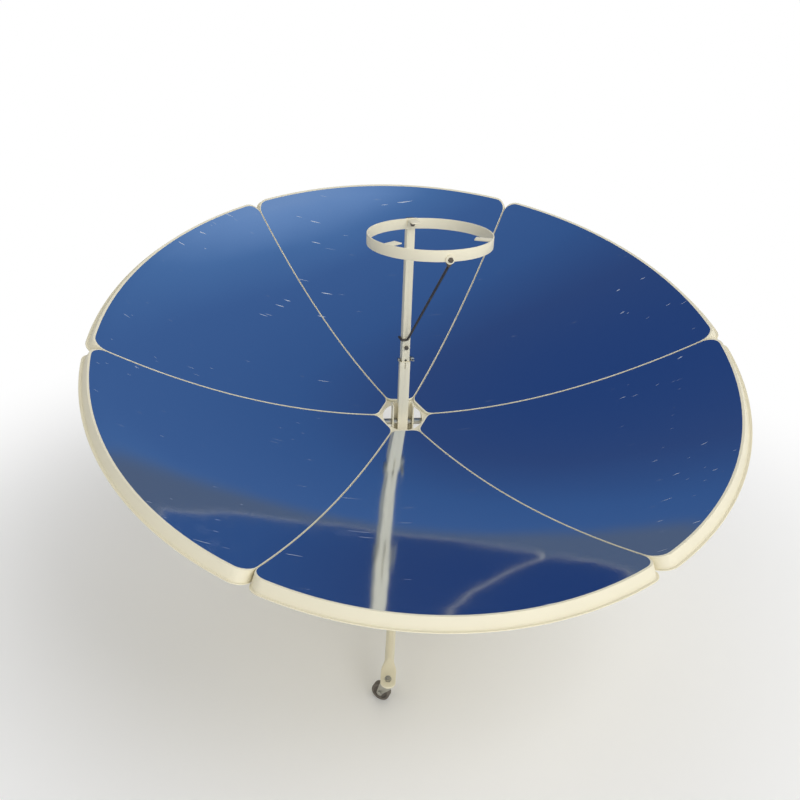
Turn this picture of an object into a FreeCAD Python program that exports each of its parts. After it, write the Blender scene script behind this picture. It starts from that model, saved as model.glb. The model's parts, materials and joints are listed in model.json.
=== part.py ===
import FreeCAD, Part
import math
import os
import Sketcher
from FreeCAD import Placement, Rotation, Vector

# A concentrating solar cooker: a tilting dish of six pressed petals on a swivelling post,
# a pot ring at the focus, and a three-legged base on casters.
# Frame: origin on the ground under the column, +Z up, the dish leans towards -Y, +X to its right.

os.makedirs("parts", exist_ok=True)
doc = FreeCAD.newDocument("solar_cooker")

SIZES = [
    # dish
    ("focal_length", 563.0, "focus above the vertex of the mirror"),
    ("aperture_radius", 750.0, "radius where a petal's face turns into its flange"),
    ("petal_sheet", 1.5, "thickness of the pressed sheet"),
    ("seam_gap", 1.6, "gap between two neighbouring petals"),
    ("flange_length", 36.0, "rim flange, square to the mirror face"),
    ("hub_lip", 5.0, "depth of the skirt at the hub end"),
    ("rim_corner", 30.0, "corner radius of a petal at the rim"),
    ("hub_flat", 54.0, "straight inner edge of a petal, from the dish axis"),
    ("hub_corner", 22.0, "corner radius of a petal at the hub"),
    ("film_sheet", 0.4, "thickness of the reflective film"),
    ("glue_line", 0.1, "gap between sheet and film"),
    ("film_inset_rim", 8.0, "bare margin at the rim"),
    ("film_inset_side", 1.4, "bare margin along a seam"),
    ("film_inset_hub", 4.0, "bare margin at the hub"),
    ("seam_bolt_first", 340.0, "radius of the innermost seam bolt"),
    ("seam_bolt_margin", 50.0, "outermost seam bolt inside the aperture radius"),
    ("seam_bolt_radius", 2.5, "shank of a seam bolt"),
    # hub
    ("hub_hole_radius", 50.0, "hole that the post passes through"),
    ("hub_plate_radius", 125.0, "outer radius of the hub plate"),
    ("hub_plate_sheet", 3.0, "thickness of the hub plate"),
    ("seat_clearance", 0.4, "gap between a petal's skirt and the hub plate"),
    ("stud_circle_radius", 104.0, "radius of the welded petal studs"),
    ("stud_spread_angle", 15.0, "angle of a stud from the middle of its petal"),
    ("stud_radius", 3.0, "shank of a petal stud"),
    ("stud_length", 17.0, "length of a stud below its shoulder"),
    ("shoulder_radius", 7.0, "shoulder that stands the petal off the hub plate"),
    # tilt hinge
    ("pivot_height", 460.0, "tilt pivot above the ground"),
    ("pivot_drop", 22.0, "tilt pivot below the vertex of the mirror"),
    ("tilt_angle", 17.3, "lean of the dish towards the front as stored"),
    ("tilt_most", 45.0, "largest lean from the zenith"),
    ("pivot_radius", 5.0, "shank of the pivot bolt"),
    ("running_fit", 0.08, "radial clearance of a turning fit"),
    ("hole_clearance", 0.3, "radial clearance of a plain bolt hole"),
    ("side_clearance", 0.3, "gap between pieces that turn past each other"),
    ("touch_gap", 0.1, "gap between pieces that lie against each other"),
    ("cutter_reach", 1.0, "how far a cutting shape passes the face that it opens"),
    ("ear_inside", 50.0, "inner face of an ear from the middle"),
    ("ear_sheet", 3.0, "thickness of an ear"),
    ("ear_width", 64.0, "width of an ear at the hub plate"),
    ("ear_flange", 22.0, "width of the flange under the hub plate"),
    ("ear_shoulder", 8.0, "upright edge of an ear under the hub plate"),
    ("quadrant_radius", 95.0, "middle of the tilt slot from the pivot"),
    ("quadrant_band", 26.0, "width of the quadrant's slotted band"),
    ("slot_margin_angle", 4.0, "slot beyond the tilt range at each end"),
    ("spoke_angle", 8.0, "half of the angle that a spoke of the quadrant takes"),
    ("ear_bolt_radius", 3.0, "shank of an ear bolt"),
    ("ear_bolt_spread", 24.0, "ear bolt from the middle of the ear"),
    # head
    ("fork_sheet", 3.0, "thickness of the fork"),
    ("fork_inside", 24.0, "inner face of a fork cheek from the middle"),
    ("fork_front", 16.0, "front edge of a cheek from the post's axis"),
    ("fork_rise", 48.0, "top of the fork above the tilt pivot"),
    ("tilt_bolt_radius", 4.0, "shank of the tilt clamp bolt"),
    ("spacer_wall", 2.5, "wall of a spacer tube"),
    ("knob_radius", 21.0, "outer radius of a star knob"),
    ("knob_height", 22.0, "height of a star knob"),
    ("knob_lobe_radius", 6.5, "radius of the scallops round a knob"),
    # post
    ("post_side", 25.0, "outer side of the lower square tube"),
    ("post_wall", 1.5, "wall of the lower square tube"),
    ("post_rise", 170.0, "top of the lower tube above the tilt pivot"),
    ("mast_side", 19.0, "outer side of the upper square tube"),
    ("mast_wall", 1.5, "wall of the upper square tube"),
    ("mast_overlap", 150.0, "length of the upper tube inside the lower one"),
    ("mast_turn", 8.0, "turn of the upper tube in its loose fit"),
    ("mast_bolt_radius", 3.0, "shank of the bolts in the upper tube"),
    ("slit_width", 2.6, "saw cut in the front of the lower tube's end"),
    ("slit_length", 18.0, "length of the saw cut"),
    ("stop_gap", 0.3, "stop bolt above the end of the lower tube"),
    ("pin_reach", 2.3, "stop pin past each side of the lower tube"),
    ("wing_depth", 6.0, "hub of the wing nut along its pin"),
    ("wing_span", 30.0, "wing nut from tip to tip"),
    ("wing_sheet", 2.4, "thickness of a wing"),
    ("cap_sheet", 3.0, "thickness of the cap on the upper tube"),
    ("hook_bolt_drop", 22.0, "hook bolt below the hook of the brace"),
    # pot ring
    ("ring_radius", 139.0, "outer radius of the pot ring"),
    ("ring_sheet", 3.0, "thickness of the ring's band"),
    ("ring_band", 25.0, "height of the ring's band"),
    ("ring_top", 996.0, "top edge of the ring above the ground"),
    ("saddle_sheet", 2.0, "saddle between tube and ring at its middle"),
    ("tab_width", 22.0, "width of a pot tab"),
    ("tab_reach", 36.0, "how far a pot tab reaches inwards"),
    ("tab_sheet", 3.0, "thickness of a pot tab"),
    ("tab_leg", 17.0, "height of a tab's welded leg"),
    ("tab_drop", 2.0, "pot tab below the ring's top edge"),
    ("brace_radius", 3.0, "round bar of the brace"),
    ("brace_hook_rise", 60.0, "hook of the brace above the lower tube"),
    ("brace_bolt_rise", 5.0, "brace bolt above the ring's lower edge"),
    ("eye_radius", 9.0, "flattened eye of the brace"),
    ("eye_strap", 16.0, "flattened strap below the eye"),
    ("boss_radius", 10.0, "round boss on the front of the ring"),
    ("boss_depth", 2.5, "thickness of the boss"),
    # column and base
    ("column_radius", 20.0, "outer radius of the column tube"),
    ("column_wall", 2.5, "wall of the column tube"),
    ("column_foot", 140.0, "bottom of the column above the ground"),
    ("column_drop", 138.0, "top of the column below the tilt pivot"),
    ("bush_flange", 3.0, "flange of the plastic bush"),
    ("bush_depth", 40.0, "bush inside the column"),
    ("spigot_radius", 16.0, "outer radius of the swivel spigot"),
    ("spigot_wall", 2.5, "wall of the swivel spigot"),
    ("spigot_length", 110.0, "length of the swivel spigot"),
    ("swivel_screw_drop", 54.0, "swivel clamp screw below the top of the column"),
    ("weld_nut_depth", 8.0, "nut welded on the column"),
    ("screw_collar", 3.0, "collar of the swivel clamp screw"),
    ("leg_radius", 11.0, "outer radius of a leg tube"),
    ("leg_wall", 1.5, "wall of a leg tube"),
    ("leg_height", 160.0, "axis of a leg at the column"),
    ("leg_turn", -9.9, "direction of the front leg from -Y"),
    ("leg_start", 25.0, "inner end of a leg from the column axis"),
    ("leg_bend_out", 150.0, "upper bend of a leg"),
    ("leg_bend_radius", 90.0, "radius of a leg's bends"),
    ("foot_bend_out", 392.0, "lower bend of a leg"),
    ("foot_flat_out", 446.0, "where the flattened end begins"),
    ("foot_end_out", 498.0, "outer end of a leg"),
    ("foot_bolt_out", 476.0, "caster stem from the column axis"),
    ("foot_width", 34.0, "width of the flattened end"),
    ("foot_sheet", 4.0, "thickness of the flattened end"),
    ("foot_height", 54.0, "middle of the flattened end above the ground"),
    ("plate_sheet", 3.0, "thickness of a base plate"),
    ("plate_radius", 42.0, "base plate round the column"),
    ("plate_arm_out", 108.0, "outer bolt of a base plate arm"),
    ("plate_arm_in", 62.0, "inner bolt of a base plate arm"),
    ("plate_arm_width", 34.0, "width of a base plate arm"),
    ("leg_bolt_radius", 4.0, "shank of a leg bolt"),
    # casters
    ("wheel_radius", 21.0, "outer radius of a caster wheel"),
    ("wheel_width", 15.0, "width of a caster wheel"),
    ("wheel_hub_width", 17.0, "width of a wheel over its hub"),
    ("axle_radius", 3.0, "axle of a caster wheel"),
    ("caster_trail", 15.0, "axle behind the stem"),
    ("caster_turn", 148.0, "direction in which the wheels trail, from +X"),
    ("caster_sheet", 2.0, "thickness of the caster fork"),
    ("caster_crown", 45.0, "underside of the fork's crown above the ground"),
    ("caster_depth", 26.0, "depth of the fork's crown"),
    ("cheek_end", 7.0, "half the width of a fork's cheek at the axle"),
    ("tread_edge", 2.0, "rounding of a wheel's tread"),
    ("stem_radius", 4.0, "caster stem"),
    ("race_radius", 10.0, "swivel race on top of the fork"),
]

sheet = doc.addObject("Spreadsheet::Sheet", "sizes")
for row, (alias, number, note) in enumerate(SIZES, 1):
    sheet.set("A%d" % row, note)
    sheet.set("B%d" % row, str(number))
    sheet.setAlias("B%d" % row, alias)
doc.recompute()

nodes = []


def value(expression):
    """The number that an expression over the sheet gives."""
    result = sheet.evalExpression(str(expression))
    return float(getattr(result, "Value", result))


def node(thing, label, place=None):
    """Names a finished piece, places it and puts it on the list to be written."""
    thing.Label = label
    if place is not None:
        thing.Placement = place
    nodes.append(thing)
    return thing


def bind(thing, **expressions):
    """Binds properties to expressions; a double underscore stands for a dot."""
    for name, expression in expressions.items():
        thing.setExpression(name.replace("__", "."), str(expression))


AXES = {"x": Rotation(Vector(0, 1, 0), 90), "y": Rotation(Vector(1, 0, 0), -90), "z": Rotation()}


def stand(thing, at, axis):
    """Stands a primitive at a bound point, its own Z along the named axis."""
    thing.Placement = Placement(Vector(*[value(one) for one in at]), AXES[axis])
    bind(thing, Placement__Base__x=at[0], Placement__Base__y=at[1], Placement__Base__z=at[2])
    return thing


def cylinder(radius, height, at=(0, 0, 0), axis="z"):
    thing = doc.addObject("Part::Cylinder", "cylinder")
    bind(thing, Radius=radius, Height=height)
    return stand(thing, at, axis)


def hexagon(across_flats, height, at=(0, 0, 0), axis="z"):
    thing = doc.addObject("Part::Prism", "hexagon")
    thing.Polygon = 6
    bind(thing, Circumradius="(%s) / 2 / cos(30)" % across_flats, Height=height)
    return stand(thing, at, axis)


def box(x_range, y_range, z_range):
    thing = doc.addObject("Part::Box", "box")
    spans = ["(%s) - (%s)" % (high, low) for low, high in (x_range, y_range, z_range)]
    bind(thing, Length=spans[0], Width=spans[1], Height=spans[2])
    return stand(thing, (x_range[0], y_range[0], z_range[0]), "z")


def fuse(*pieces):
    thing = doc.addObject("Part::MultiFuse", "fuse")
    thing.Shapes = list(pieces)
    thing.Refine = True
    return thing


def cut(base, *tools):
    thing = doc.addObject("Part::Cut", "cut")
    thing.Base = base
    thing.Tool = tools[0] if len(tools) == 1 else fuse(*tools)
    return thing


def group(*pieces):
    thing = doc.addObject("Part::Compound", "group")
    thing.Links = list(pieces)
    return thing


def shape_of(thing):
    """The shape of a helper object that isn't written itself."""
    doc.recompute()
    return thing.Shape.copy()


def feature(label, shape, place=None):
    thing = doc.addObject("Part::Feature", label)
    thing.Shape = shape
    return node(thing, label, place)


def spread(label, shape, places, outer=None):
    """A group of like solids, one at each placement."""
    copies = []
    for place in places:
        copy = shape.copy()
        copy.Placement = place.multiply(copy.Placement)
        copies.append(copy)
    return feature(label, Part.makeCompound(copies), outer)


# Sketches: every corner and radius is a constraint bound to the sheet.

def new_body(label):
    return doc.addObject("PartDesign::Body", label)


def new_sketch(body, role, offset=0):
    sketch = body.newObject("Sketcher::SketchObject", "profile")
    plane = [one for one in body.Origin.OriginFeatures if one.Role == role][0]
    sketch.AttachmentSupport = [(plane, "")]
    sketch.MapMode = "FlatFace"
    if offset:
        sketch.setExpression("AttachmentOffset.Base.z", str(offset))
    return sketch


def constrain(sketch, *constraint):
    """Adds a constraint whose last item is an expression and binds it."""
    expression = constraint[-1]
    number = value(expression)
    index = sketch.addConstraint(Sketcher.Constraint(*constraint[:-1], number))
    sketch.setExpression("Constraints[%d]" % index, str(expression))


def polygon(sketch, corners):
    """A closed outline; each corner is a pair of expressions from the sketch origin."""
    first = sketch.GeometryCount
    points = [Vector(value(u), value(v), 0) for u, v in corners]
    count = len(points)
    for index in range(count):
        sketch.addGeometry(Part.LineSegment(points[index], points[(index + 1) % count]), False)
    for index in range(count):
        following = first + (index + 1) % count
        sketch.addConstraint(Sketcher.Constraint("Coincident", first + index, 2, following, 1))
    for index, (u, v) in enumerate(corners):
        constrain(sketch, "DistanceX", -1, 1, first + index, 1, u)
        constrain(sketch, "DistanceY", -1, 1, first + index, 1, v)


def rectangle(sketch, u_low, u_high, v_low, v_high):
    polygon(sketch, [(u_low, v_low), (u_high, v_low), (u_high, v_high), (u_low, v_high)])


def circle(sketch, u, v, radius):
    centre = Vector(value(u), value(v), 0)
    index = sketch.addGeometry(Part.Circle(centre, Vector(0, 0, 1), value(radius)), False)
    constrain(sketch, "DistanceX", -1, 1, index, 3, u)
    constrain(sketch, "DistanceY", -1, 1, index, 3, v)
    constrain(sketch, "Radius", index, radius)


def pad(body, sketch, length, both=False):
    thing = body.newObject("PartDesign::Pad", "pad")
    thing.Profile = sketch
    bind(thing, Length=length)
    if both:
        thing.SideType = "Symmetric"
    doc.recompute()
    return thing


def pocket(body, sketch):
    """Cuts right through, both ways from the sketch."""
    before = body.Shape.Volume
    thing = body.newObject("PartDesign::Pocket", "pocket")
    thing.Profile = sketch
    thing.Type = "ThroughAll"
    thing.SideType = "Symmetric"
    doc.recompute()
    if body.Shape.Volume >= before:
        raise ValueError("a pocket in %s cuts nothing" % body.Label)
    return thing


def revolve(body, sketch, axis="V_Axis"):
    thing = body.newObject("PartDesign::Revolution", "revolution")
    thing.Profile = sketch
    thing.ReferenceAxis = (sketch, [axis])
    thing.Angle = 360
    doc.recompute()
    return thing


def repeat_round(body, feature_to_repeat, count, role="Z_Axis"):
    thing = body.newObject("PartDesign::PolarPattern", "round")
    thing.Originals = [feature_to_repeat]
    axis = [one for one in body.Origin.OriginFeatures if one.Role == role][0]
    thing.Axis = (axis, [""])
    thing.Angle = 360
    thing.Occurrences = count
    body.Tip = thing
    doc.recompute()
    return thing


# Fasteners: the head's underside at the origin, the shank along +Z.

ACROSS_FLATS = "3.3 * %s"
HEAD_HEIGHT = "1.4 * %s"
NUT_HEIGHT = "1.6 * %s"


def hex_bolt(radius, grip):
    """A bolt that clamps the grip and stands a little out of its nut."""
    head = hexagon(ACROSS_FLATS % radius, HEAD_HEIGHT % radius, (0, 0, "-" + HEAD_HEIGHT % radius))
    shank = cylinder(radius, "%s + 2.4 * %s" % (grip, radius))
    return fuse(head, shank)


def hex_nut(radius, lift):
    """A nut round a shank of the same radius, lifted along the bolt."""
    body = hexagon(ACROSS_FLATS % radius, NUT_HEIGHT % radius, (0, 0, lift))
    return cut(body, cylinder("%s + sizes.running_fit" % radius, NUT_HEIGHT % radius, (0, 0, lift)))


def turned(angle, axis=(0, 0, 1), at=(0, 0, 0)):
    return Placement(Vector(*at), Rotation(Vector(*axis), angle))


# Dish curves, in the dish's own frame: vertex of the mirror at the origin, its axis along +Z.
RIM_SLOPE = "atan(sizes.aperture_radius / (2 * sizes.focal_length))"
FLANGE_RADIUS = "(sizes.aperture_radius + sizes.flange_length * sin(%s))" % RIM_SLOPE
FLANGE_FOOT = ("(sizes.aperture_radius^2 / (4 * sizes.focal_length)"
               " - sizes.flange_length * cos(%s))" % RIM_SLOPE)


BELOW_DISH = "(-1.6 * sizes.flange_length)"
ABOVE_DISH = "(sizes.aperture_radius^2 / (4 * sizes.focal_length) + 2.5 * sizes.flange_length)"


def mirror_z(radius):
    """Height of the petal's face at a radius."""
    return "((%s)^2 / (4 * sizes.focal_length))" % radius


def skirt_z(radius):
    """Height of the skirt's lower edge at a radius."""
    return "(-sizes.hub_lip + (%s + sizes.hub_lip) * ((%s) / %s)^2)" % (
        FLANGE_FOOT, radius, FLANGE_RADIUS)


def parabola_edge(focal_length, drop, start, end):
    """The arc z = r^2 / 4f - drop in the XZ plane between two radii."""
    curve = Part.Parabola(Vector(0, 0, focal_length - drop), Vector(0, 0, -drop), Vector(0, 1, 0))
    ends = [Vector(r, 0, r * r / (4 * focal_length) - drop) for r in (start, end)]
    first, last = sorted(curve.parameter(point) for point in ends)
    return curve.toBSpline(first, last).toShape(), ends


def bowl_slice(upper, lower, reach):
    """A slice of bowl between two parabolas, each a pair of focal length and drop."""
    near = value("sizes.hub_hole_radius") / 2
    top_edge, top_ends = parabola_edge(upper[0], upper[1], near, reach)
    low_edge, low_ends = parabola_edge(lower[0], lower[1], near, reach)
    sides = [Part.makeLine(top_ends[0], low_ends[0]), Part.makeLine(top_ends[1], low_ends[1])]
    wire = Part.Wire(Part.__sortEdges__([top_edge, sides[1], low_edge, sides[0]]))
    face = Part.Face(wire)
    face.rotate(Vector(), Vector(0, 0, 1), -40)
    return face.revolve(Vector(), Vector(0, 0, 1), 80)


def sector_prism(side_offset, inner_flat, inner_corner, reach, low, high):
    """The plan of a petal, its middle along +X, rounded at the hub end."""
    half = math.radians(30)
    along = Vector(math.cos(half), math.sin(half), 0)
    inward = Vector(math.sin(half), -math.cos(half), 0) * side_offset
    start = (inner_flat - inward.x) / along.x
    near = along * start + inward
    far = along * reach + inward
    corners = [near, far, Vector(far.x, -far.y, 0), Vector(near.x, -near.y, 0)]
    face = Part.Face(Part.makePolygon(corners + corners[:1]))
    face.translate(Vector(0, 0, low))
    prism = face.extrude(Vector(0, 0, high - low))
    inner = [edge for edge in prism.Edges if is_upright(edge) and edge.BoundBox.XMax < near.x + inner_corner]
    return prism.makeFillet(inner_corner, inner)


def is_upright(edge):
    return edge.BoundBox.ZLength > 5 * max(edge.BoundBox.XLength, edge.BoundBox.YLength)


def round_rim(solid, radius, corner):
    """Rounds the two corners where the sides meet the rim."""
    edges = []
    for edge in solid.Edges:
        ends = [vertex.Point for vertex in edge.Vertexes]
        rises = len(ends) == 2 and abs(ends[0].z - ends[1].z) > 3 * corner
        if rises and math.hypot(edge.CenterOfMass.x, edge.CenterOfMass.y) > radius * 0.8:
            edges.append(edge)
    if len(edges) != 2:
        raise ValueError("the rim corners of a petal were not found")
    return solid.makeFillet(corner, edges)


def tray(wall):
    """The outside of a petal's skirt moved inwards by a wall, as a tall solid."""
    low, high = value(BELOW_DISH), value(ABOVE_DISH)
    slope = math.radians(value(RIM_SLOPE))
    rim_z = value(mirror_z("sizes.aperture_radius"))
    rim_radius = value("sizes.aperture_radius") - wall / math.cos(slope)
    low_radius = rim_radius + (rim_z - low) * math.tan(slope)
    high_radius = rim_radius - (high - rim_z) * math.tan(slope)
    prism = sector_prism(value("sizes.seam_gap / 2") + wall, value("sizes.hub_flat") + wall,
                         value("sizes.hub_corner") - wall, low_radius * 1.3, low, high)
    cone = Part.makeCone(low_radius, high_radius, high - low, Vector(0, 0, low))
    cone.rotate(Vector(), Vector(0, 0, 1), 180)
    return round_rim(prism.common(cone), rim_radius, value("sizes.rim_corner") - wall)


def petal_shape():
    """A pressed tray: face, rim flange and side skirts of one sheet, with its two hub studs."""
    focal = value("sizes.focal_length")
    sheet_drop = value("sizes.petal_sheet")
    reach = value(FLANGE_RADIUS + " + sizes.flange_length")
    lip = value("sizes.hub_lip")
    skirt_rise = (value(FLANGE_FOOT) + lip) / value(FLANGE_RADIUS) ** 2
    skirt = (1 / (4 * skirt_rise), lip)
    block = tray(0).common(bowl_slice((focal, 0), skirt, reach))
    below = (skirt[0], lip - value(BELOW_DISH))
    hollow = tray(sheet_drop).common(bowl_slice((focal, sheet_drop), below, reach))
    petal = block.cut(hollow)
    stud_out = value("sizes.stud_circle_radius")
    spread_angle = value("sizes.stud_spread_angle")
    seat = value(HUB_TOP)
    top = value(mirror_z("sizes.stud_circle_radius")) - sheet_drop / 2
    for angle in (-spread_angle, spread_angle):
        at = Vector(stud_out, 0, 0)
        shoulder = Part.makeCylinder(value("sizes.shoulder_radius"), top - seat, at + Vector(0, 0, seat))
        length = value("sizes.stud_length")
        shank = Part.makeCylinder(value("sizes.stud_radius"), length + sheet_drop,
                                  at + Vector(0, 0, seat - length))
        stud = shoulder.fuse(shank)
        stud.rotate(Vector(), Vector(0, 0, 1), angle)
        petal = petal.fuse(stud)
    for radius, height in seam_bolt_places():
        hole = Part.makeCylinder(value("sizes.seam_bolt_radius + sizes.hole_clearance"), 10 * lip,
                                 Vector(radius, -5 * lip, height), Vector(0, 1, 0))
        for angle in (-30, 30):
            tool = hole.copy()
            tool.rotate(Vector(), Vector(0, 0, 1), angle)
            petal = petal.cut(tool)
    return petal


SEAM_BOLT_SPAN = "(sizes.aperture_radius - sizes.seam_bolt_margin - sizes.seam_bolt_first)"


def seam_bolt_places():
    """Radius and height of each seam bolt, three fifths of the way down the skirt."""
    places = []
    for index in range(3):
        radius = "(sizes.seam_bolt_first + %d * %s / 2)" % (index, SEAM_BOLT_SPAN)
        height = "0.4 * %s + 0.6 * %s" % (mirror_z(radius), skirt_z(radius))
        places.append((value(radius), value(height)))
    return places


def film_shape():
    """The reflective film that covers a petal's face inside its margins."""
    focal = value("sizes.focal_length")
    gap = value("sizes.glue_line")
    top = gap + value("sizes.film_sheet")
    radius = value("sizes.aperture_radius - sizes.film_inset_rim")
    low, high = value(BELOW_DISH), value(ABOVE_DISH)
    prism = sector_prism(value("sizes.seam_gap / 2 + sizes.film_inset_side"),
                         value("sizes.hub_flat + sizes.film_inset_hub"),
                         value("sizes.hub_corner - sizes.film_inset_side"), radius * 1.3, low, high)
    rim = Part.makeCylinder(radius, high - low, Vector(0, 0, low))
    rim.rotate(Vector(), Vector(0, 0, 1), 180)
    corner = value("sizes.rim_corner - sizes.film_inset_side")
    outline = round_rim(prism.common(rim), radius, corner)
    reach = radius + value("sizes.flange_length")
    return outline.common(bowl_slice((focal, -top), (focal, -gap), reach))


# Hub plate, just under the skirts' ends.
HUB_TOP = "(%s - sizes.seat_clearance)" % skirt_z("sizes.hub_flat")
HUB_UNDER = "(%s - sizes.hub_plate_sheet)" % HUB_TOP

tilt = value("sizes.tilt_angle")
vertex = Vector(0, -value("sizes.pivot_drop") * math.sin(math.radians(tilt)),
                value("sizes.pivot_height") + value("sizes.pivot_drop") * math.cos(math.radians(tilt)))
dish_place = Placement(vertex, Rotation(Vector(1, 0, 0), tilt))
mast_place = turned(value("sizes.mast_turn"))

# Six pressed petals, each with its film.
petal = petal_shape()
film = film_shape()
for index in range(6):
    here = dish_place.multiply(turned(30 + 60 * index))
    feature("petal_%d" % (index + 1), petal, here)
    feature("mirror_film_%d" % (index + 1), film, here)

# Hub plate: a disc with the post hole and twelve stud holes.
hub_plate = new_body("hub_plate")
profile = new_sketch(hub_plate, "XY_Plane", HUB_UNDER)
circle(profile, 0, 0, "sizes.hub_plate_radius")
circle(profile, 0, 0, "sizes.hub_hole_radius")
pad(hub_plate, profile, "sizes.hub_plate_sheet")
profile = new_sketch(hub_plate, "XY_Plane")
for sign in ("+", "-"):
    circle(profile, "sizes.stud_circle_radius * cos(30 %s sizes.stud_spread_angle)" % sign,
           "sizes.stud_circle_radius * sin(30 %s sizes.stud_spread_angle)" % sign,
           "sizes.stud_radius + sizes.hole_clearance")
stud_holes = pocket(hub_plate, profile)
repeat_round(hub_plate, stud_holes, 6)
profile = new_sketch(hub_plate, "XY_Plane")
EAR_BOLT_OUT = "(sizes.ear_inside + sizes.ear_sheet + sizes.ear_flange / 2)"
for side in ("", "-"):
    for end in ("", "-"):
        circle(profile, side + EAR_BOLT_OUT, end + "sizes.ear_bolt_spread",
               "sizes.ear_bolt_radius + sizes.hole_clearance")
pocket(hub_plate, profile)
node(hub_plate, "hub_plate", dish_place)

nut = shape_of(hex_nut("sizes.stud_radius", "%s - %s" % (HUB_UNDER, NUT_HEIGHT % "sizes.stud_radius")))
nut_places = []
for index in range(6):
    for angle in (-value("sizes.stud_spread_angle"), value("sizes.stud_spread_angle")):
        around = turned(30 + 60 * index + angle)
        nut_places.append(around.multiply(turned(0, at=(value("sizes.stud_circle_radius"), 0, 0))))
spread("hub_nuts", nut, nut_places, dish_place)

# Seam bolts: three through each pair of skirts, nuts on the far side.
skirts = "(sizes.seam_gap + 2 * sizes.petal_sheet)"
bolt = shape_of(group(hex_bolt("sizes.seam_bolt_radius", skirts),
                      hex_nut("sizes.seam_bolt_radius", skirts)))
seam_places = []
for index in range(6):
    for radius, height in seam_bolt_places():
        around = turned(60 * index)
        at = (radius, value(skirts) / 2, height)
        seam_places.append(around.multiply(Placement(Vector(*at), Rotation(Vector(1, 0, 0), 90))))
spread("seam_bolts", bolt, seam_places, dish_place)

# Ears: two bent plates under the hub plate that hang on the pivot bolt.
EAR_OUTSIDE = "(sizes.ear_inside + sizes.ear_sheet)"
EAR_BOSS = "(sizes.pivot_drop + %s - sizes.side_clearance)" % HUB_UNDER
PIVOT_Z = "(-sizes.pivot_drop)"
QUADRANT_OUT = "(sizes.quadrant_radius + sizes.quadrant_band / 2)"
QUADRANT_IN = "(sizes.quadrant_radius - sizes.quadrant_band / 2)"


def ear_plate(side):
    """The upright plate of an ear and its flange; side is '' on the right, '-' on the left."""
    body = new_body("ear_plate")
    profile = new_sketch(body, "YZ_Plane", side + "sizes.ear_inside")
    polygon(profile, [
        ("-sizes.ear_width / 2", HUB_UNDER),
        ("-sizes.ear_width / 2", HUB_UNDER + " - sizes.ear_shoulder"),
        ("-" + EAR_BOSS, PIVOT_Z),
        (EAR_BOSS, PIVOT_Z),
        ("sizes.ear_width / 2", HUB_UNDER + " - sizes.ear_shoulder"),
        ("sizes.ear_width / 2", HUB_UNDER)])
    plate = pad(body, profile, "sizes.ear_sheet")
    plate.Reversed = side == "-"
    doc.recompute()
    profile = new_sketch(body, "XY_Plane", HUB_UNDER + " - sizes.ear_sheet")
    rectangle(profile, side + "sizes.ear_inside", side + "(%s + sizes.ear_flange)" % EAR_OUTSIDE,
              "-sizes.ear_width / 2", "sizes.ear_width / 2")
    pad(body, profile, "sizes.ear_sheet")
    profile = new_sketch(body, "XY_Plane")
    for end in ("", "-"):
        circle(profile, side + EAR_BOLT_OUT, end + "sizes.ear_bolt_spread",
               "sizes.ear_bolt_radius + sizes.hole_clearance")
    pocket(body, profile)
    return body


BACK, AHEAD = " - sizes.cutter_reach", " + sizes.cutter_reach"


def along_x(radius, start, end):
    """A round bar along X at the pivot, in the dish's frame."""
    return cylinder(radius, "(%s) - (%s)" % (end, start), (start, 0, PIVOT_Z), "x")


def ear(side):
    start, end = "sizes.ear_inside", EAR_OUTSIDE
    if side == "-":
        start, end = "-" + EAR_OUTSIDE, "-sizes.ear_inside"
    boss = along_x(EAR_BOSS, start, end)
    bore = along_x("sizes.pivot_radius + sizes.running_fit", start + BACK, end + AHEAD)
    return ear_plate(side), boss, bore


left_plate, left_boss, left_bore = ear("-")
node(cut(fuse(left_plate, left_boss), left_bore), "ear_left", dish_place)


def wedge(inner, outer, first_angle, last_angle, start, end):
    """A slice of ring about the pivot, angles from straight down towards the front."""
    ring = doc.addObject("Part::Cylinder", "wedge")
    bind(ring, Radius=outer, Height="(%s) - (%s)" % (end, start),
         Angle="(%s) - (%s)" % (last_angle, first_angle))
    ring.Placement = Placement(Vector(value(start), 0, value(PIVOT_Z)),
                               Rotation(Vector(0, 1, 0), 90).multiply(
                                   Rotation(Vector(0, 0, 1), -value(last_angle))))
    bind(ring, Placement__Base__x=start, Placement__Base__z=PIVOT_Z)
    return cut(ring, along_x(inner, start + BACK, end + AHEAD))


# Tilt quadrant: the right ear carries a slotted arc that slides past the clamp bolt.
LOW_END = "(-sizes.slot_margin_angle)"
HIGH_END = "(sizes.tilt_most + sizes.slot_margin_angle)"
SLOT_HALF = "(sizes.tilt_bolt_radius + sizes.hole_clearance)"
right_plate, right_boss, right_bore = ear("")
before, after = " - sizes.spoke_angle", " + sizes.spoke_angle"
band = wedge(QUADRANT_IN, QUADRANT_OUT, LOW_END + before, HIGH_END + after, "sizes.ear_inside", EAR_OUTSIDE)
spokes = [wedge(EAR_BOSS + " / 2", QUADRANT_IN + AHEAD, angle + before, angle + after,
                "sizes.ear_inside", EAR_OUTSIDE) for angle in (LOW_END, HIGH_END)]
slot = wedge("sizes.quadrant_radius - " + SLOT_HALF, "sizes.quadrant_radius + " + SLOT_HALF,
             LOW_END, HIGH_END, "sizes.ear_inside" + BACK, EAR_OUTSIDE + AHEAD)
node(cut(fuse(right_plate, right_boss, band, *spokes), right_bore, slot), "ear_quadrant", dish_place)

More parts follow.
